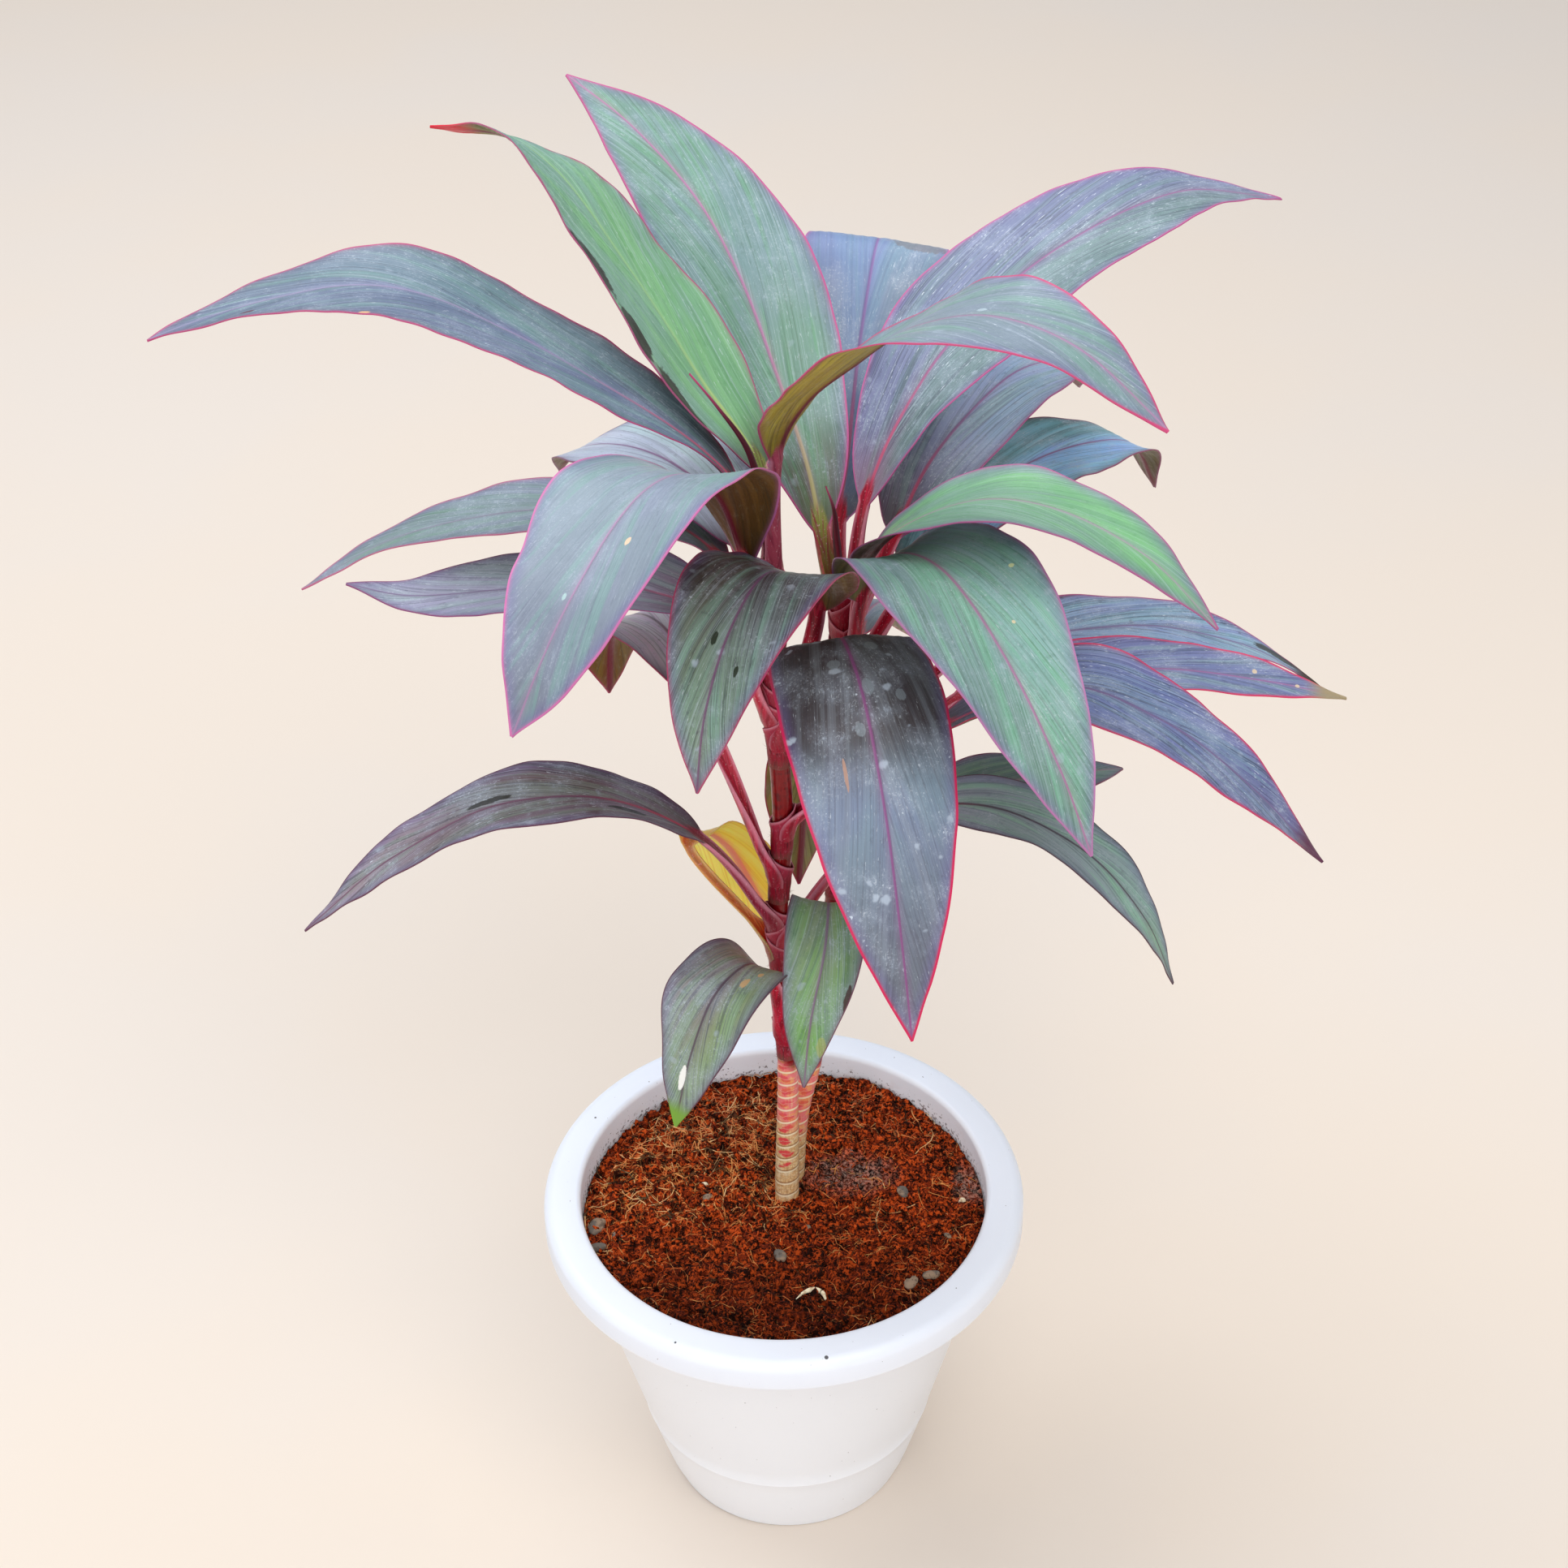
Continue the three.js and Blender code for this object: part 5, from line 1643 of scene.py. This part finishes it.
@dataclass(frozen=True)
class Pot:
    """Round pot with a turned-down lip and a foot band, in millimetres."""

    height: float = 160.0
    wall: float = 2.5
    floor: float = 3.0
    base_radius: float = 53.3
    shoulder_radius: float = 90.3
    shoulder_height: float = 146.0
    bow: float = 0.92
    foot_round: float = 1.5
    band_height: float = 42.0
    band_step: float = 0.35
    opening_radius: float = 87.5
    opening_round: float = 2.4
    lip_radius: float = 103.5
    lip_wall: float = 2.2
    lip_thick: float = 2.6
    lip_round: float = 5.0
    lip_edge: float = 0.7
    hollow_round: float = 2.4
    drain_holes: int = 5
    drain_radius: float = 4.0
    drain_circle: float = 32.0
    steps: int = 160
    crease: float = 32.0

    def outer(self, height: float) -> float:
        """Outer radius of the body at a height."""
        grown = clamp01(height / self.shoulder_height) ** self.bow
        return lerp(self.base_radius, self.shoulder_radius, grown)

    def inner(self, height: float) -> float:
        """Inner radius of the body at a height."""
        return min(self.opening_radius, self.outer(height) - self.wall)

    @staticmethod
    def arc(radius: float, height: float, size: float, start: float, end: float, steps: int = 8) -> list:
        """Lists the points of a round stretch of the profile.

        Args:
            radius: distance of the arc's middle from the axis.
            height: height of its middle.
            size: the arc's own radius.
            start: the angle it starts at, in degrees.
            end: the angle it ends at.
            steps: how many pieces it has.

        Returns:
            Pairs of a radius and a height.
        """
        angles = [lerp(start, end, i / steps) * DEGREE for i in range(steps + 1)]
        return [(radius + size * math.cos(a), height + size * math.sin(a)) for a in angles]

    def profile(self) -> list[tuple[float, float]]:
        """Half section: up the outside, round the lip and down the inside."""
        band = self.band_height
        hollow_top = self.height - self.lip_thick - self.hollow_round
        foot = self.base_radius - self.foot_round
        edge = self.lip_radius - self.lip_wall
        edge_level = self.shoulder_height + self.lip_edge
        body = [lerp(band, self.shoulder_height, i / 12) for i in range(1, 13)]
        inside = [lerp(self.shoulder_height, self.floor + 2, i / 16) for i in range(17)]
        outline = [(0, 0), (foot * 0.5, 0), (foot - 3, 0)]
        outline += self.arc(foot + self.band_step, self.foot_round, self.foot_round, -90, 0)
        outline += [(self.outer(h) + self.band_step, h) for h in (8, 16, 24, 32, band - 1.6)]
        outline += [(self.outer(band) + self.band_step * 0.9, band - 0.9)]
        outline += [(self.outer(band) + 0.1, band - 0.2)]
        outline += [(self.outer(h), h) for h in body]
        outline += self.arc(self.shoulder_radius + self.hollow_round, hollow_top, self.hollow_round, 180, 90)
        outline += self.arc(edge - self.hollow_round, hollow_top, self.hollow_round, 90, 0)
        outline += self.arc(edge + self.lip_edge, edge_level, self.lip_edge, 180, 270, 4)
        outline += self.arc(self.lip_radius - self.lip_edge, edge_level, self.lip_edge, 270, 360, 4)
        lip_level = self.height - self.lip_round
        outline += self.arc(self.lip_radius - self.lip_round, lip_level, self.lip_round, 0, 90, 12)
        opening = self.opening_radius + self.opening_round
        outline += self.arc(opening, self.height - self.opening_round, self.opening_round, 90, 180)
        outline += [(self.inner(h), h) for h in inside]
        outline += [(self.inner(self.floor) - 2, self.floor), (20, self.floor), (0, self.floor)]
        return outline

    def drilled(self, piece: Object) -> Object:
        """Cuts the drain holes through the floor.

        Args:
            piece: the turned pot.

        Returns:
            The same object, with its mesh cut.
        """
        bm = bmesh.new()
        for i in range(self.drain_holes):
            angle = i / self.drain_holes * 2 * math.pi
            spot = Vector((math.cos(angle), math.sin(angle), 0)) * self.drain_circle * MM
            size = {"radius1": self.drain_radius * MM, "radius2": self.drain_radius * MM, "depth": 0.02}
            bmesh.ops.create_cone(bm, cap_ends=True, segments=32, matrix=Matrix.Translation(spot), **size)
        drill = finished_object(bm, "drill", piece.data.materials[0])
        cut = piece.modifiers.new("drain holes", "BOOLEAN")
        cut.operation = "DIFFERENCE"
        cut.solver = "EXACT"
        cut.object = drill
        graph = bpy.context.evaluated_depsgraph_get()
        mesh = bpy.data.meshes.new_from_object(piece.evaluated_get(graph))
        piece.modifiers.clear()
        piece.data = mesh
        bpy.data.objects.remove(drill)
        mesh.set_sharp_from_angle(angle=self.crease * DEGREE)
        return piece

    def build(self, material: Material) -> Object:
        """Turns the profile round the axis and drills the floor."""
        bm = bmesh.new()
        corners = [bm.verts.new((radius * MM, 0, height * MM)) for radius, height in self.profile()]
        edges = [bm.edges.new(pair) for pair in zip(corners, corners[1:])]
        around = {"cent": (0, 0, 0), "axis": (0, 0, 1), "angle": 2 * math.pi, "steps": self.steps}
        bmesh.ops.spin(bm, geom=corners + edges, use_merge=True, **around)
        bmesh.ops.remove_doubles(bm, verts=bm.verts, dist=WELD)
        return self.drilled(finished_object(bm, "pot_shell", material, self.crease))


# Soil


@dataclass(frozen=True)
class SoilFinish:
    """Coir potting mix: red-brown crumbs and tan fibres.

    by_canes and by_wall are the middles and half sizes of its two dusty patches, in metres.
    """

    crumb: str = "#8a3012"
    # deep is painted shade: the near-black laid in hollows, in dark crevice patches and towards the front
    deep: str = "#120401"
    bright: str = "#e45c20"
    dusty: str = "#a88c7e"
    red_fibre: str = "#d85a22"
    fibre: str = "#e8a058"
    pale_fibre: str = "#f0c48a"
    dark_fibre: str = "#280a04"
    stone: str = "#6a6258"
    other_stone: str = "#9c8268"
    pit: str = "#4c3a30"
    peel: str = "#f2e4c0"
    stain: str = "#b08a5c"
    # Painted shade for the front of the soil, which the front wall shades
    damp: str = "#4a0e06"
    by_canes: tuple[Spot, Spot] = ((0.029, 0.019, 0.147), (0.025, 0.016, 0.02))
    by_wall: tuple[Spot, Spot] = ((0.081, 0.012, 0.146), (0.009, 0.016, 0.012))

    def crumbs(self) -> Material:
        """Coir pith: crumbly and dull, dusty in two patches, with painted shade in its hollows, in dark
        patches and towards the front.
        """
        look = Finish("coir pith, damp crumbs")
        back = look.add("SeparateXYZ", {"Vector": look.place})["Y"]
        away = look.away_from(look.place, *self.by_canes)
        at_wall = look.away_from(look.place, *self.by_wall)
        nearest = look.add("Math", {0: away, 1: at_wall}, operation="MINIMUM")[0]
        near = look.add("MapRange", {"Value": nearest, "From Min": 1.0, "From Max": 0.4})["Result"]
        fine = look.clumps(1.3, 4.0, 0.7)
        colour = look.coated(self.crumb, [
            # Painted shade in dark crevice patches
            Coat(look.clumps(6, 4.0, 0.65), 0.48, 0.56, self.deep, 0.9),
            Coat(look.clumps(2.6, 4.0, 0.75), 0.49, 0.6, self.bright, 0.9),
            # Painted shade towards the front, where the front wall shades the soil
            Coat(back, -0.005, -0.07, self.deep, 0.65),
            # Painted shade in the hollows of the bump
            Coat(fine, 0.52, 0.4, self.deep, 0.95),
            Coat(fine, 0.42, 0.6, self.dusty, 0.8, near),
        ])
        look.relief(fine, 1.0, 1.0)
        return look.finished(colour, Roughness=0.9, IOR=1.4, Specular_IOR_Level=0.15)

    def fibres(self, name: str, colour: str, other: str) -> Material:
        """Dry coir fibre: wiry and dull, uneven in colour along its length, lighter towards the back, with
        painted shade towards the front and in dark patches.
        """
        look = Finish(name)
        back = look.add("SeparateXYZ", {"Vector": look.place})["Y"]
        colour = look.coated(colour, [
            Coat(look.clumps(4, 3.0), 0.4, 0.65, other, 0.8),
            Coat(back, 0.02, 0.075, self.pale_fibre, 0.22),
            # Painted shade towards the front
            Coat(back, 0.01, -0.06, self.damp, 0.38),
            # Painted shade in dark crevice patches
            Coat(look.clumps(6, 4.0, 0.65), 0.5, 0.56, self.deep, 0.85),
        ])
        return look.finished(colour, Roughness=0.75, IOR=1.45, Specular_IOR_Level=0.25)

    def stones(self) -> Material:
        """Weathered pebble: rough grey stone with soil dust in its pits."""
        look = Finish("weathered pebble, rough grey stone")
        pits = look.clumps(1.5, 4.0, 0.65)
        colour = look.coated(self.stone, [
            Coat(look.clumps(9, 2.0), 0.45, 0.55, self.other_stone, 0.85),
            Coat(pits, 0.5, 0.36, self.pit, 0.7),
        ])
        look.relief(pits, 0.5, 0.3)
        return look.finished(colour, Roughness=0.8, IOR=1.5)

    def husk(self) -> Material:
        """Dry chip of husk: pale, papery, stained in patches."""
        look = Finish("dry husk chip, papery")
        colour = look.coated(self.peel, [Coat(look.clumps(2.5, 3.0), 0.45, 0.65, self.stain, 0.8)])
        return look.finished(colour, Roughness=0.7)


@dataclass(frozen=True)
class FibreKind:
    """One kind of coir fibre: how many there are, their sizes in millimetres and their two colours.

    leftwards is the share of them that is moved to the left rear quarter of the pot.
    """

    name: str
    count: int
    thick: float
    shortest: float
    longest: float
    colours: tuple[str, str]
    leftwards: float = 0.0


FIBRES = (
    FibreKind("soil_fibres_dark", 1300, 0.42, 2.0, 9.0, ("dark_fibre", "crumb")),
    FibreKind("soil_fibres_red", 1450, 0.36, 2.0, 9.0, ("red_fibre", "bright")),
    FibreKind("soil_fibres_tan", 1000, 0.42, 4.0, 20.0, ("fibre", "red_fibre"), 0.45),
    FibreKind("soil_fibres_pale", 110, 0.5, 8.0, 30.0, ("pale_fibre", "fibre"), 0.7),
)


# Place and size of each pebble, and the lines of the husk chips, in millimetres
PEBBLES = (
    (-81, -9, 3.6), (-80, -21, 3.0), (-72, -14, 2.4), (-2, -30, 2.7), (53, -47, 2.9), (62, -42, 2.8),
    (52, 7, 2.6), (10, -15, 1.7), (30, 33, 1.5), (-33, 6, 1.8), (-24, -76, 2.2), (70, -20, 1.4),
)
HUSK_CHIPS = (
    ((4.5, -55), (8, -51.5), (12, -50), (15.5, -51.5), (17, -55.5)),
    ((-36, 13), (-35, 14.5), (-33, 14)),
    ((76, 1), (77.5, 2), (79, 1.5)),
)


@dataclass
class Soil:
    """Soil of the pot: a crumbly body with loose crumbs, fibres and pebbles on it, in millimetres.

    clods each give the height, the size and the seed of one layer of crumbs, and heap the place,
    half width and height of the heap at the back.
    """

    pot: Pot
    edge_height: float = 145.5
    mound: float = 2.0
    lump: float = 0.9
    lump_pitch: float = 11.0
    cross_lump: float = 0.5
    cross_pitch: float = 6.5
    clods: tuple[Spot, ...] = ((1.7, 7.0, 1.7), (1.9, 3.1, 8.3), (1.1, 1.5, 4.1))
    heap: tuple[float, float, float, float] = (38.0, 74.0, 22.0, 2.6)
    gap: float = 0.3
    cells: int = 170
    wall_rings: int = 5
    wall_start: float = 3.0
    crumb_count: int = 2000
    crumb_spread: float = 0.985
    crumb_sizes: tuple[float, float] = (0.7, 2.4)
    crumb_rarity: float = 2.5
    crumb_rough: float = 0.45
    crumb_pitch: float = 900.0
    sunk: float = 0.3
    fibre_spread: float = 0.97
    fibre_steps: int = 7
    fibre_bend: float = 0.17
    fibre_wander: float = 0.25
    fibre_rise: float = 0.1
    fibre_rarity: float = 1.6
    fibre_sizes: tuple[float, float] = (0.55, 1.35)
    fibre_taper: float = 0.6
    draws: random.Random = field(default_factory=lambda: random.Random(SEED))

    @property
    def edge(self) -> float:
        """Radius of the soil at its surface."""
        return self.pot.inner(self.edge_height) - 2 * self.gap

    def level(self, x: float, y: float) -> float:
        """Height of the smooth surface at a place."""
        out = clamp01(math.hypot(x, y) / self.pot.inner(self.edge_height))
        lumps = self.lump * math.sin(x / self.lump_pitch) * math.cos(y / self.lump_pitch + 1)
        cross = self.cross_lump * math.sin((x - y) / self.cross_pitch)
        return self.edge_height + self.mound * (1 - out * out) + (lumps + cross) * (1 - out)

    def crumbly(self, x: float, y: float) -> float:
        """Height of the crumbly surface at a place."""
        height = self.level(x, y)
        for high, pitch, seed in self.clods:
            height += high * ripple(x / pitch, y / pitch, seed)
        heap_x, heap_y, wide, high = self.heap
        return height + high * bell(math.hypot(x - heap_x, y - heap_y), wide)

    def body(self, material: Material) -> Object:
        """Presses a square grid into a disc, makes it crumbly and closes it down to the pot's floor."""
        bm = bmesh.new()
        bmesh.ops.create_grid(bm, x_segments=self.cells, y_segments=self.cells, size=1)
        for corner in bm.verts:
            x, y, _ = corner.co
            scale = self.edge * max(abs(x), abs(y)) / max(math.hypot(x, y), 1e-9)
            x, y = x * scale, y * scale
            corner.co = Vector((x, y, self.crumbly(x, y))) * MM
        rim = [edge for edge in bm.edges if edge.is_boundary]
        for i in range(self.wall_rings):
            top = self.edge_height - self.wall_start
            height = lerp(top, self.pot.floor + self.gap, i / (self.wall_rings - 1))
            result = bmesh.ops.extrude_edge_only(bm, edges=rim)
            rim = [item for item in result["geom"] if isinstance(item, bmesh.types.BMEdge)]
            radius = self.pot.inner(height) - 2 * self.gap
            for corner in (item for item in result["geom"] if isinstance(item, bmesh.types.BMVert)):
                out = corner.co.xy.normalized() * radius * MM
                corner.co = (out.x, out.y, height * MM)
        bmesh.ops.holes_fill(bm, edges=rim, sides=0)
        return finished_object(bm, "soil_body", material, 120)

    def spot_on_top(self, spread: float) -> tuple[float, float]:
        """Draws a place on the soil, evenly over a share of its width."""
        out = math.sqrt(self.draws.random()) * self.edge * spread
        angle = self.draws.uniform(0, 2 * math.pi)
        return out * math.cos(angle), out * math.sin(angle)

    def loose_crumbs(self, material: Material) -> Object:
        """Scatters small angular lumps over the surface."""
        bm = bmesh.new()
        least, more = self.crumb_sizes
        for _ in range(self.crumb_count):
            x, y = self.spot_on_top(self.crumb_spread)
            size = least + more * self.draws.random() ** self.crumb_rarity
            turn = Quaternion((self.draws.random(), self.draws.random(), self.draws.random(), 1)).normalized()
            spot = Vector((x, y, self.crumbly(x, y) + size * self.sunk)) * MM
            stretch = Matrix.Diagonal((1, self.draws.uniform(0.5, 1), self.draws.uniform(0.4, 0.9), 1))
            matrix = Matrix.Translation(spot) @ turn.to_matrix().to_4x4() @ stretch
            lump = bmesh.ops.create_icosphere(bm, subdivisions=1, radius=size * MM, matrix=matrix)
            for corner in lump["verts"]:
                away = corner.co - spot
                bump = self.crumb_rough * noise.noise(corner.co * self.crumb_pitch)
                corner.co = spot + away * (1 + bump)
        return finished_object(bm, "soil_crumbs", material, 25)

    def fibre_points(self, length: float, lift: float, leftwards: float) -> list[Vector]:
        """Draws the line of one wiry fibre that wanders over the surface.

        Args:
            length: how long it is.
            lift: how high its middle may rise.
            leftwards: the chance that it lies in the left rear quarter, over the even chance.

        Returns:
            Its points, in metres.
        """
        x, y = self.spot_on_top(self.fibre_spread)
        if self.draws.random() < leftwards:
            x, y = -abs(x), abs(y) * 0.9 - 8
        angle = self.draws.uniform(0, 2 * math.pi)
        bend = self.draws.gauss(0, self.fibre_bend)
        steps = self.fibre_steps
        points = []
        for i in range(steps + 1):
            high = self.crumbly(x, y) + self.gap + lift * math.sin(math.pi * i / steps)
            points.append(Vector((x, y, high)) * MM)
            angle += bend + self.draws.gauss(0, self.fibre_wander)
            x += length / steps * math.cos(angle)
            y += length / steps * math.sin(angle)
            held = min(1.0, (self.edge - 2 * self.gap) / math.hypot(x, y))
            x, y = x * held, y * held
        return points

    def fibres(self, kind: FibreKind, material: Material) -> Object:
        """Scatters one kind of wiry fibre over the surface.

        Args:
            kind: how many there are and their sizes.
            material: its finish.

        Returns:
            One piece with all of them.
        """
        curve = bpy.data.curves.new(kind.name, "CURVE")
        curve.dimensions = "3D"
        curve.bevel_depth = kind.thick / 2 * MM
        curve.bevel_resolution = 0
        curve.use_fill_caps = True
        for _ in range(kind.count):
            length = kind.shortest
            length += (kind.longest - kind.shortest) * self.draws.random() ** self.fibre_rarity
            lift = self.draws.uniform(0, self.fibre_rise) * length
            points = self.fibre_points(length, lift, kind.leftwards)
            strand = curve.splines.new("POLY")
            strand.points.add(len(points) - 1)
            size = self.draws.uniform(*self.fibre_sizes)
            for i, (knot, point) in enumerate(zip(strand.points, points)):
                knot.co = (*point, 1)
                knot.radius = size * (1 - self.fibre_taper * i / len(points))
        drawn = bpy.data.objects.new(kind.name, curve)
        bpy.context.scene.collection.objects.link(drawn)
        graph = bpy.context.evaluated_depsgraph_get()
        bm = bmesh.new()
        bm.from_mesh(bpy.data.meshes.new_from_object(drawn.evaluated_get(graph)))
        bpy.data.objects.remove(drawn)
        return finished_object(bm, kind.name, material, 80)

    def pebbles(self, material: Material) -> Object:
        """Half buries the pebbles where they lie in the pot."""
        bm = bmesh.new()
        for x, y, size in PEBBLES:
            spot = Vector((x, y, self.crumbly(x, y) + size * self.sunk)) * MM
            turn = Matrix.Rotation(self.draws.uniform(0, 2 * math.pi), 4, "Z")
            stretch = Matrix.Diagonal((1.3, self.draws.uniform(0.75, 1.0), 0.55, 1))
            matrix = Matrix.Translation(spot) @ turn @ stretch
            stone = bmesh.ops.create_icosphere(bm, subdivisions=4, radius=size * MM, matrix=matrix)
            for corner in stone["verts"]:
                away = corner.co - spot
                lumps = noise.noise(corner.co * 330) * 0.28 + noise.noise(corner.co * 900) * 0.08
                corner.co = spot + away * (1 + lumps)
        return finished_object(bm, "soil_pebbles", material)

    def chips(self, material: Material) -> Object:
        """Lays a curled sliver of husk near the front, and two small ones."""
        bm = bmesh.new()
        for arch in HUSK_CHIPS:
            top = max(self.crumbly(x, y) for x, y in arch)
            spots = [(x, y, top + 0.3 + 0.3 * math.sin(i)) for i, (x, y) in enumerate(arch)]
            add_tube(bm, SmoothLine(spots), (0.15, 0.7, 1.15, 1.0, 0.5), 24, 10)
        bmesh.ops.remove_doubles(bm, verts=bm.verts, dist=WELD)
        bmesh.ops.holes_fill(bm, edges=[edge for edge in bm.edges if edge.is_boundary], sides=0)
        return finished_object(bm, "soil_husk_chips", material, SHEET_CREASE)

    def build(self, look: SoilFinish) -> None:
        """Makes the soil and all that lies on it."""
        pith = look.crumbs()
        settle(self.body(pith), "coir_soil", "soil")
        settle(self.loose_crumbs(pith), "coir_soil")
        for kind in FIBRES:
            colour, other = (getattr(look, name) for name in kind.colours)
            material = look.fibres(f"coir fibre, {kind.name.rsplit('_', 1)[1]}", colour, other)
            settle(self.fibres(kind, material), "coir_soil")
        settle(self.pebbles(look.stones()), "coir_soil")
        settle(self.chips(look.husk()), "coir_soil")


# Studio


class Panel(Enum):
    """Light panels: the place and the size in metres, the power in watts and the tint."""

    KEY = ((0.5, -1.1, 2.1), 1.3, 19, "#fff9f0")
    TOP = ((-0.6, 0.7, 2.4), 2.6, 50, "#f4f8ff")
    FILL = ((-0.4, -2.3, 0.9), 2.0, 22, "#f2f6ff")


@dataclass(frozen=True)
class Studio:
    """Plain pale floor, soft light and the camera, in metres."""

    floor_size: float = 6.0
    floor_colour: str = "#e2d3c2"
    floor_cloud: str = "#ded3c7"
    sky: str = "#e6eefb"
    sky_strength: float = 0.6
    eye: Spot = (0.00345, -0.9097, 1.0508)
    target: Spot = (0.00345, 0.0, 0.3759)
    roll: float = -1.06
    lens: float = 67.08

    def floor(self) -> None:
        """Lays a pale matt floor under the pot."""
        look = Finish("pale seamless floor, matt")
        clouds = look.grain(look.place, (0.4, 0.4, 0.4), 3.0)
        colour = look.coated(self.floor_colour, [Coat(clouds, 0.4, 0.65, self.floor_cloud, 0.5)])
        material = look.finished(colour, Roughness=0.9, IOR=1.45)
        bm = bmesh.new()
        bmesh.ops.create_grid(bm, x_segments=1, y_segments=1, size=self.floor_size / 2)
        finished_object(bm, "studio_floor", material)

    def lamp(self, panel: Panel) -> None:
        """Hangs one square light panel that faces the plant."""
        spot, size, power, tint = panel.value
        name = f"{panel.name.lower()}_panel"
        light = bpy.data.lights.new(name, "AREA")
        light.size = size
        light.energy = power
        light.color = linear(tint)[:3]
        piece = bpy.data.objects.new(name, light)
        piece.location = spot
        piece.rotation_euler = (Vector(self.target) - Vector(spot)).to_track_quat("-Z", "Y").to_euler()
        bpy.context.scene.collection.objects.link(piece)

    def camera(self) -> None:
        """Sets the camera at the photograph's viewing angle."""
        camera = bpy.data.cameras.new("camera")
        camera.lens = self.lens
        piece = bpy.data.objects.new("camera", camera)
        looking = (Vector(self.target) - Vector(self.eye)).to_track_quat("-Z", "Y").to_matrix()
        turned = looking @ Matrix.Rotation(self.roll * DEGREE, 3, "Z")
        piece.matrix_world = Matrix.Translation(self.eye) @ turned.to_4x4()
        bpy.context.scene.collection.objects.link(piece)
        bpy.context.scene.camera = piece

    def build(self) -> None:
        """Sets up the floor, the light and the camera."""
        scene = bpy.context.scene
        scene.world = bpy.data.worlds.new("soft daylight")
        scene.world.use_nodes = True
        sky = scene.world.node_tree.nodes["Background"]
        sky.inputs["Color"].default_value = linear(self.sky)
        sky.inputs["Strength"].default_value = self.sky_strength
        scene.view_settings.view_transform = "Standard"
        self.floor()
        for panel in Panel:
            self.lamp(panel)
        self.camera()


def main() -> None:
    """Builds the pot, the soil, the canes, the leaves and the spears, then the studio."""
    logging.basicConfig(level=logging.INFO, format="%(message)s")
    pot = Pot()
    settle(pot.build(PotFinish().material()), "white_plastic", "pot")
    Soil(pot).build(SoilFinish())
    bark = BarkFinish().material()
    for name, cane in CANES.items():
        settle(cane.build(bark), "cane_skin", f"{name}_cane")
    for plan in LEAVES:
        Leaf(plan).build()
    base_skin, base_hairs = SleeveFinish().material(), SleeveFinish().hairs()
    for cane in CANES.values():
        settle(Sleeves(cane).build(base_skin), "cane_skin")
        settle(Sleeves(cane).hairs(base_hairs), "cane_skin")
    young = SpearFinish().material()
    spears = [
        Spear("front_spear", ((-2, 6, 495), (-7, 4, 522), (-18, 2, 542), (-27, 0, 556))),
        Spear("rear_spear", ((25, 26, 470), (24, 25, 484), (21, 22, 496))),
    ]
    for spear in spears:
        settle(spear.build(young), "young_leaf", spear.name)
    Studio().build()


if __name__ == "__main__":
    main()
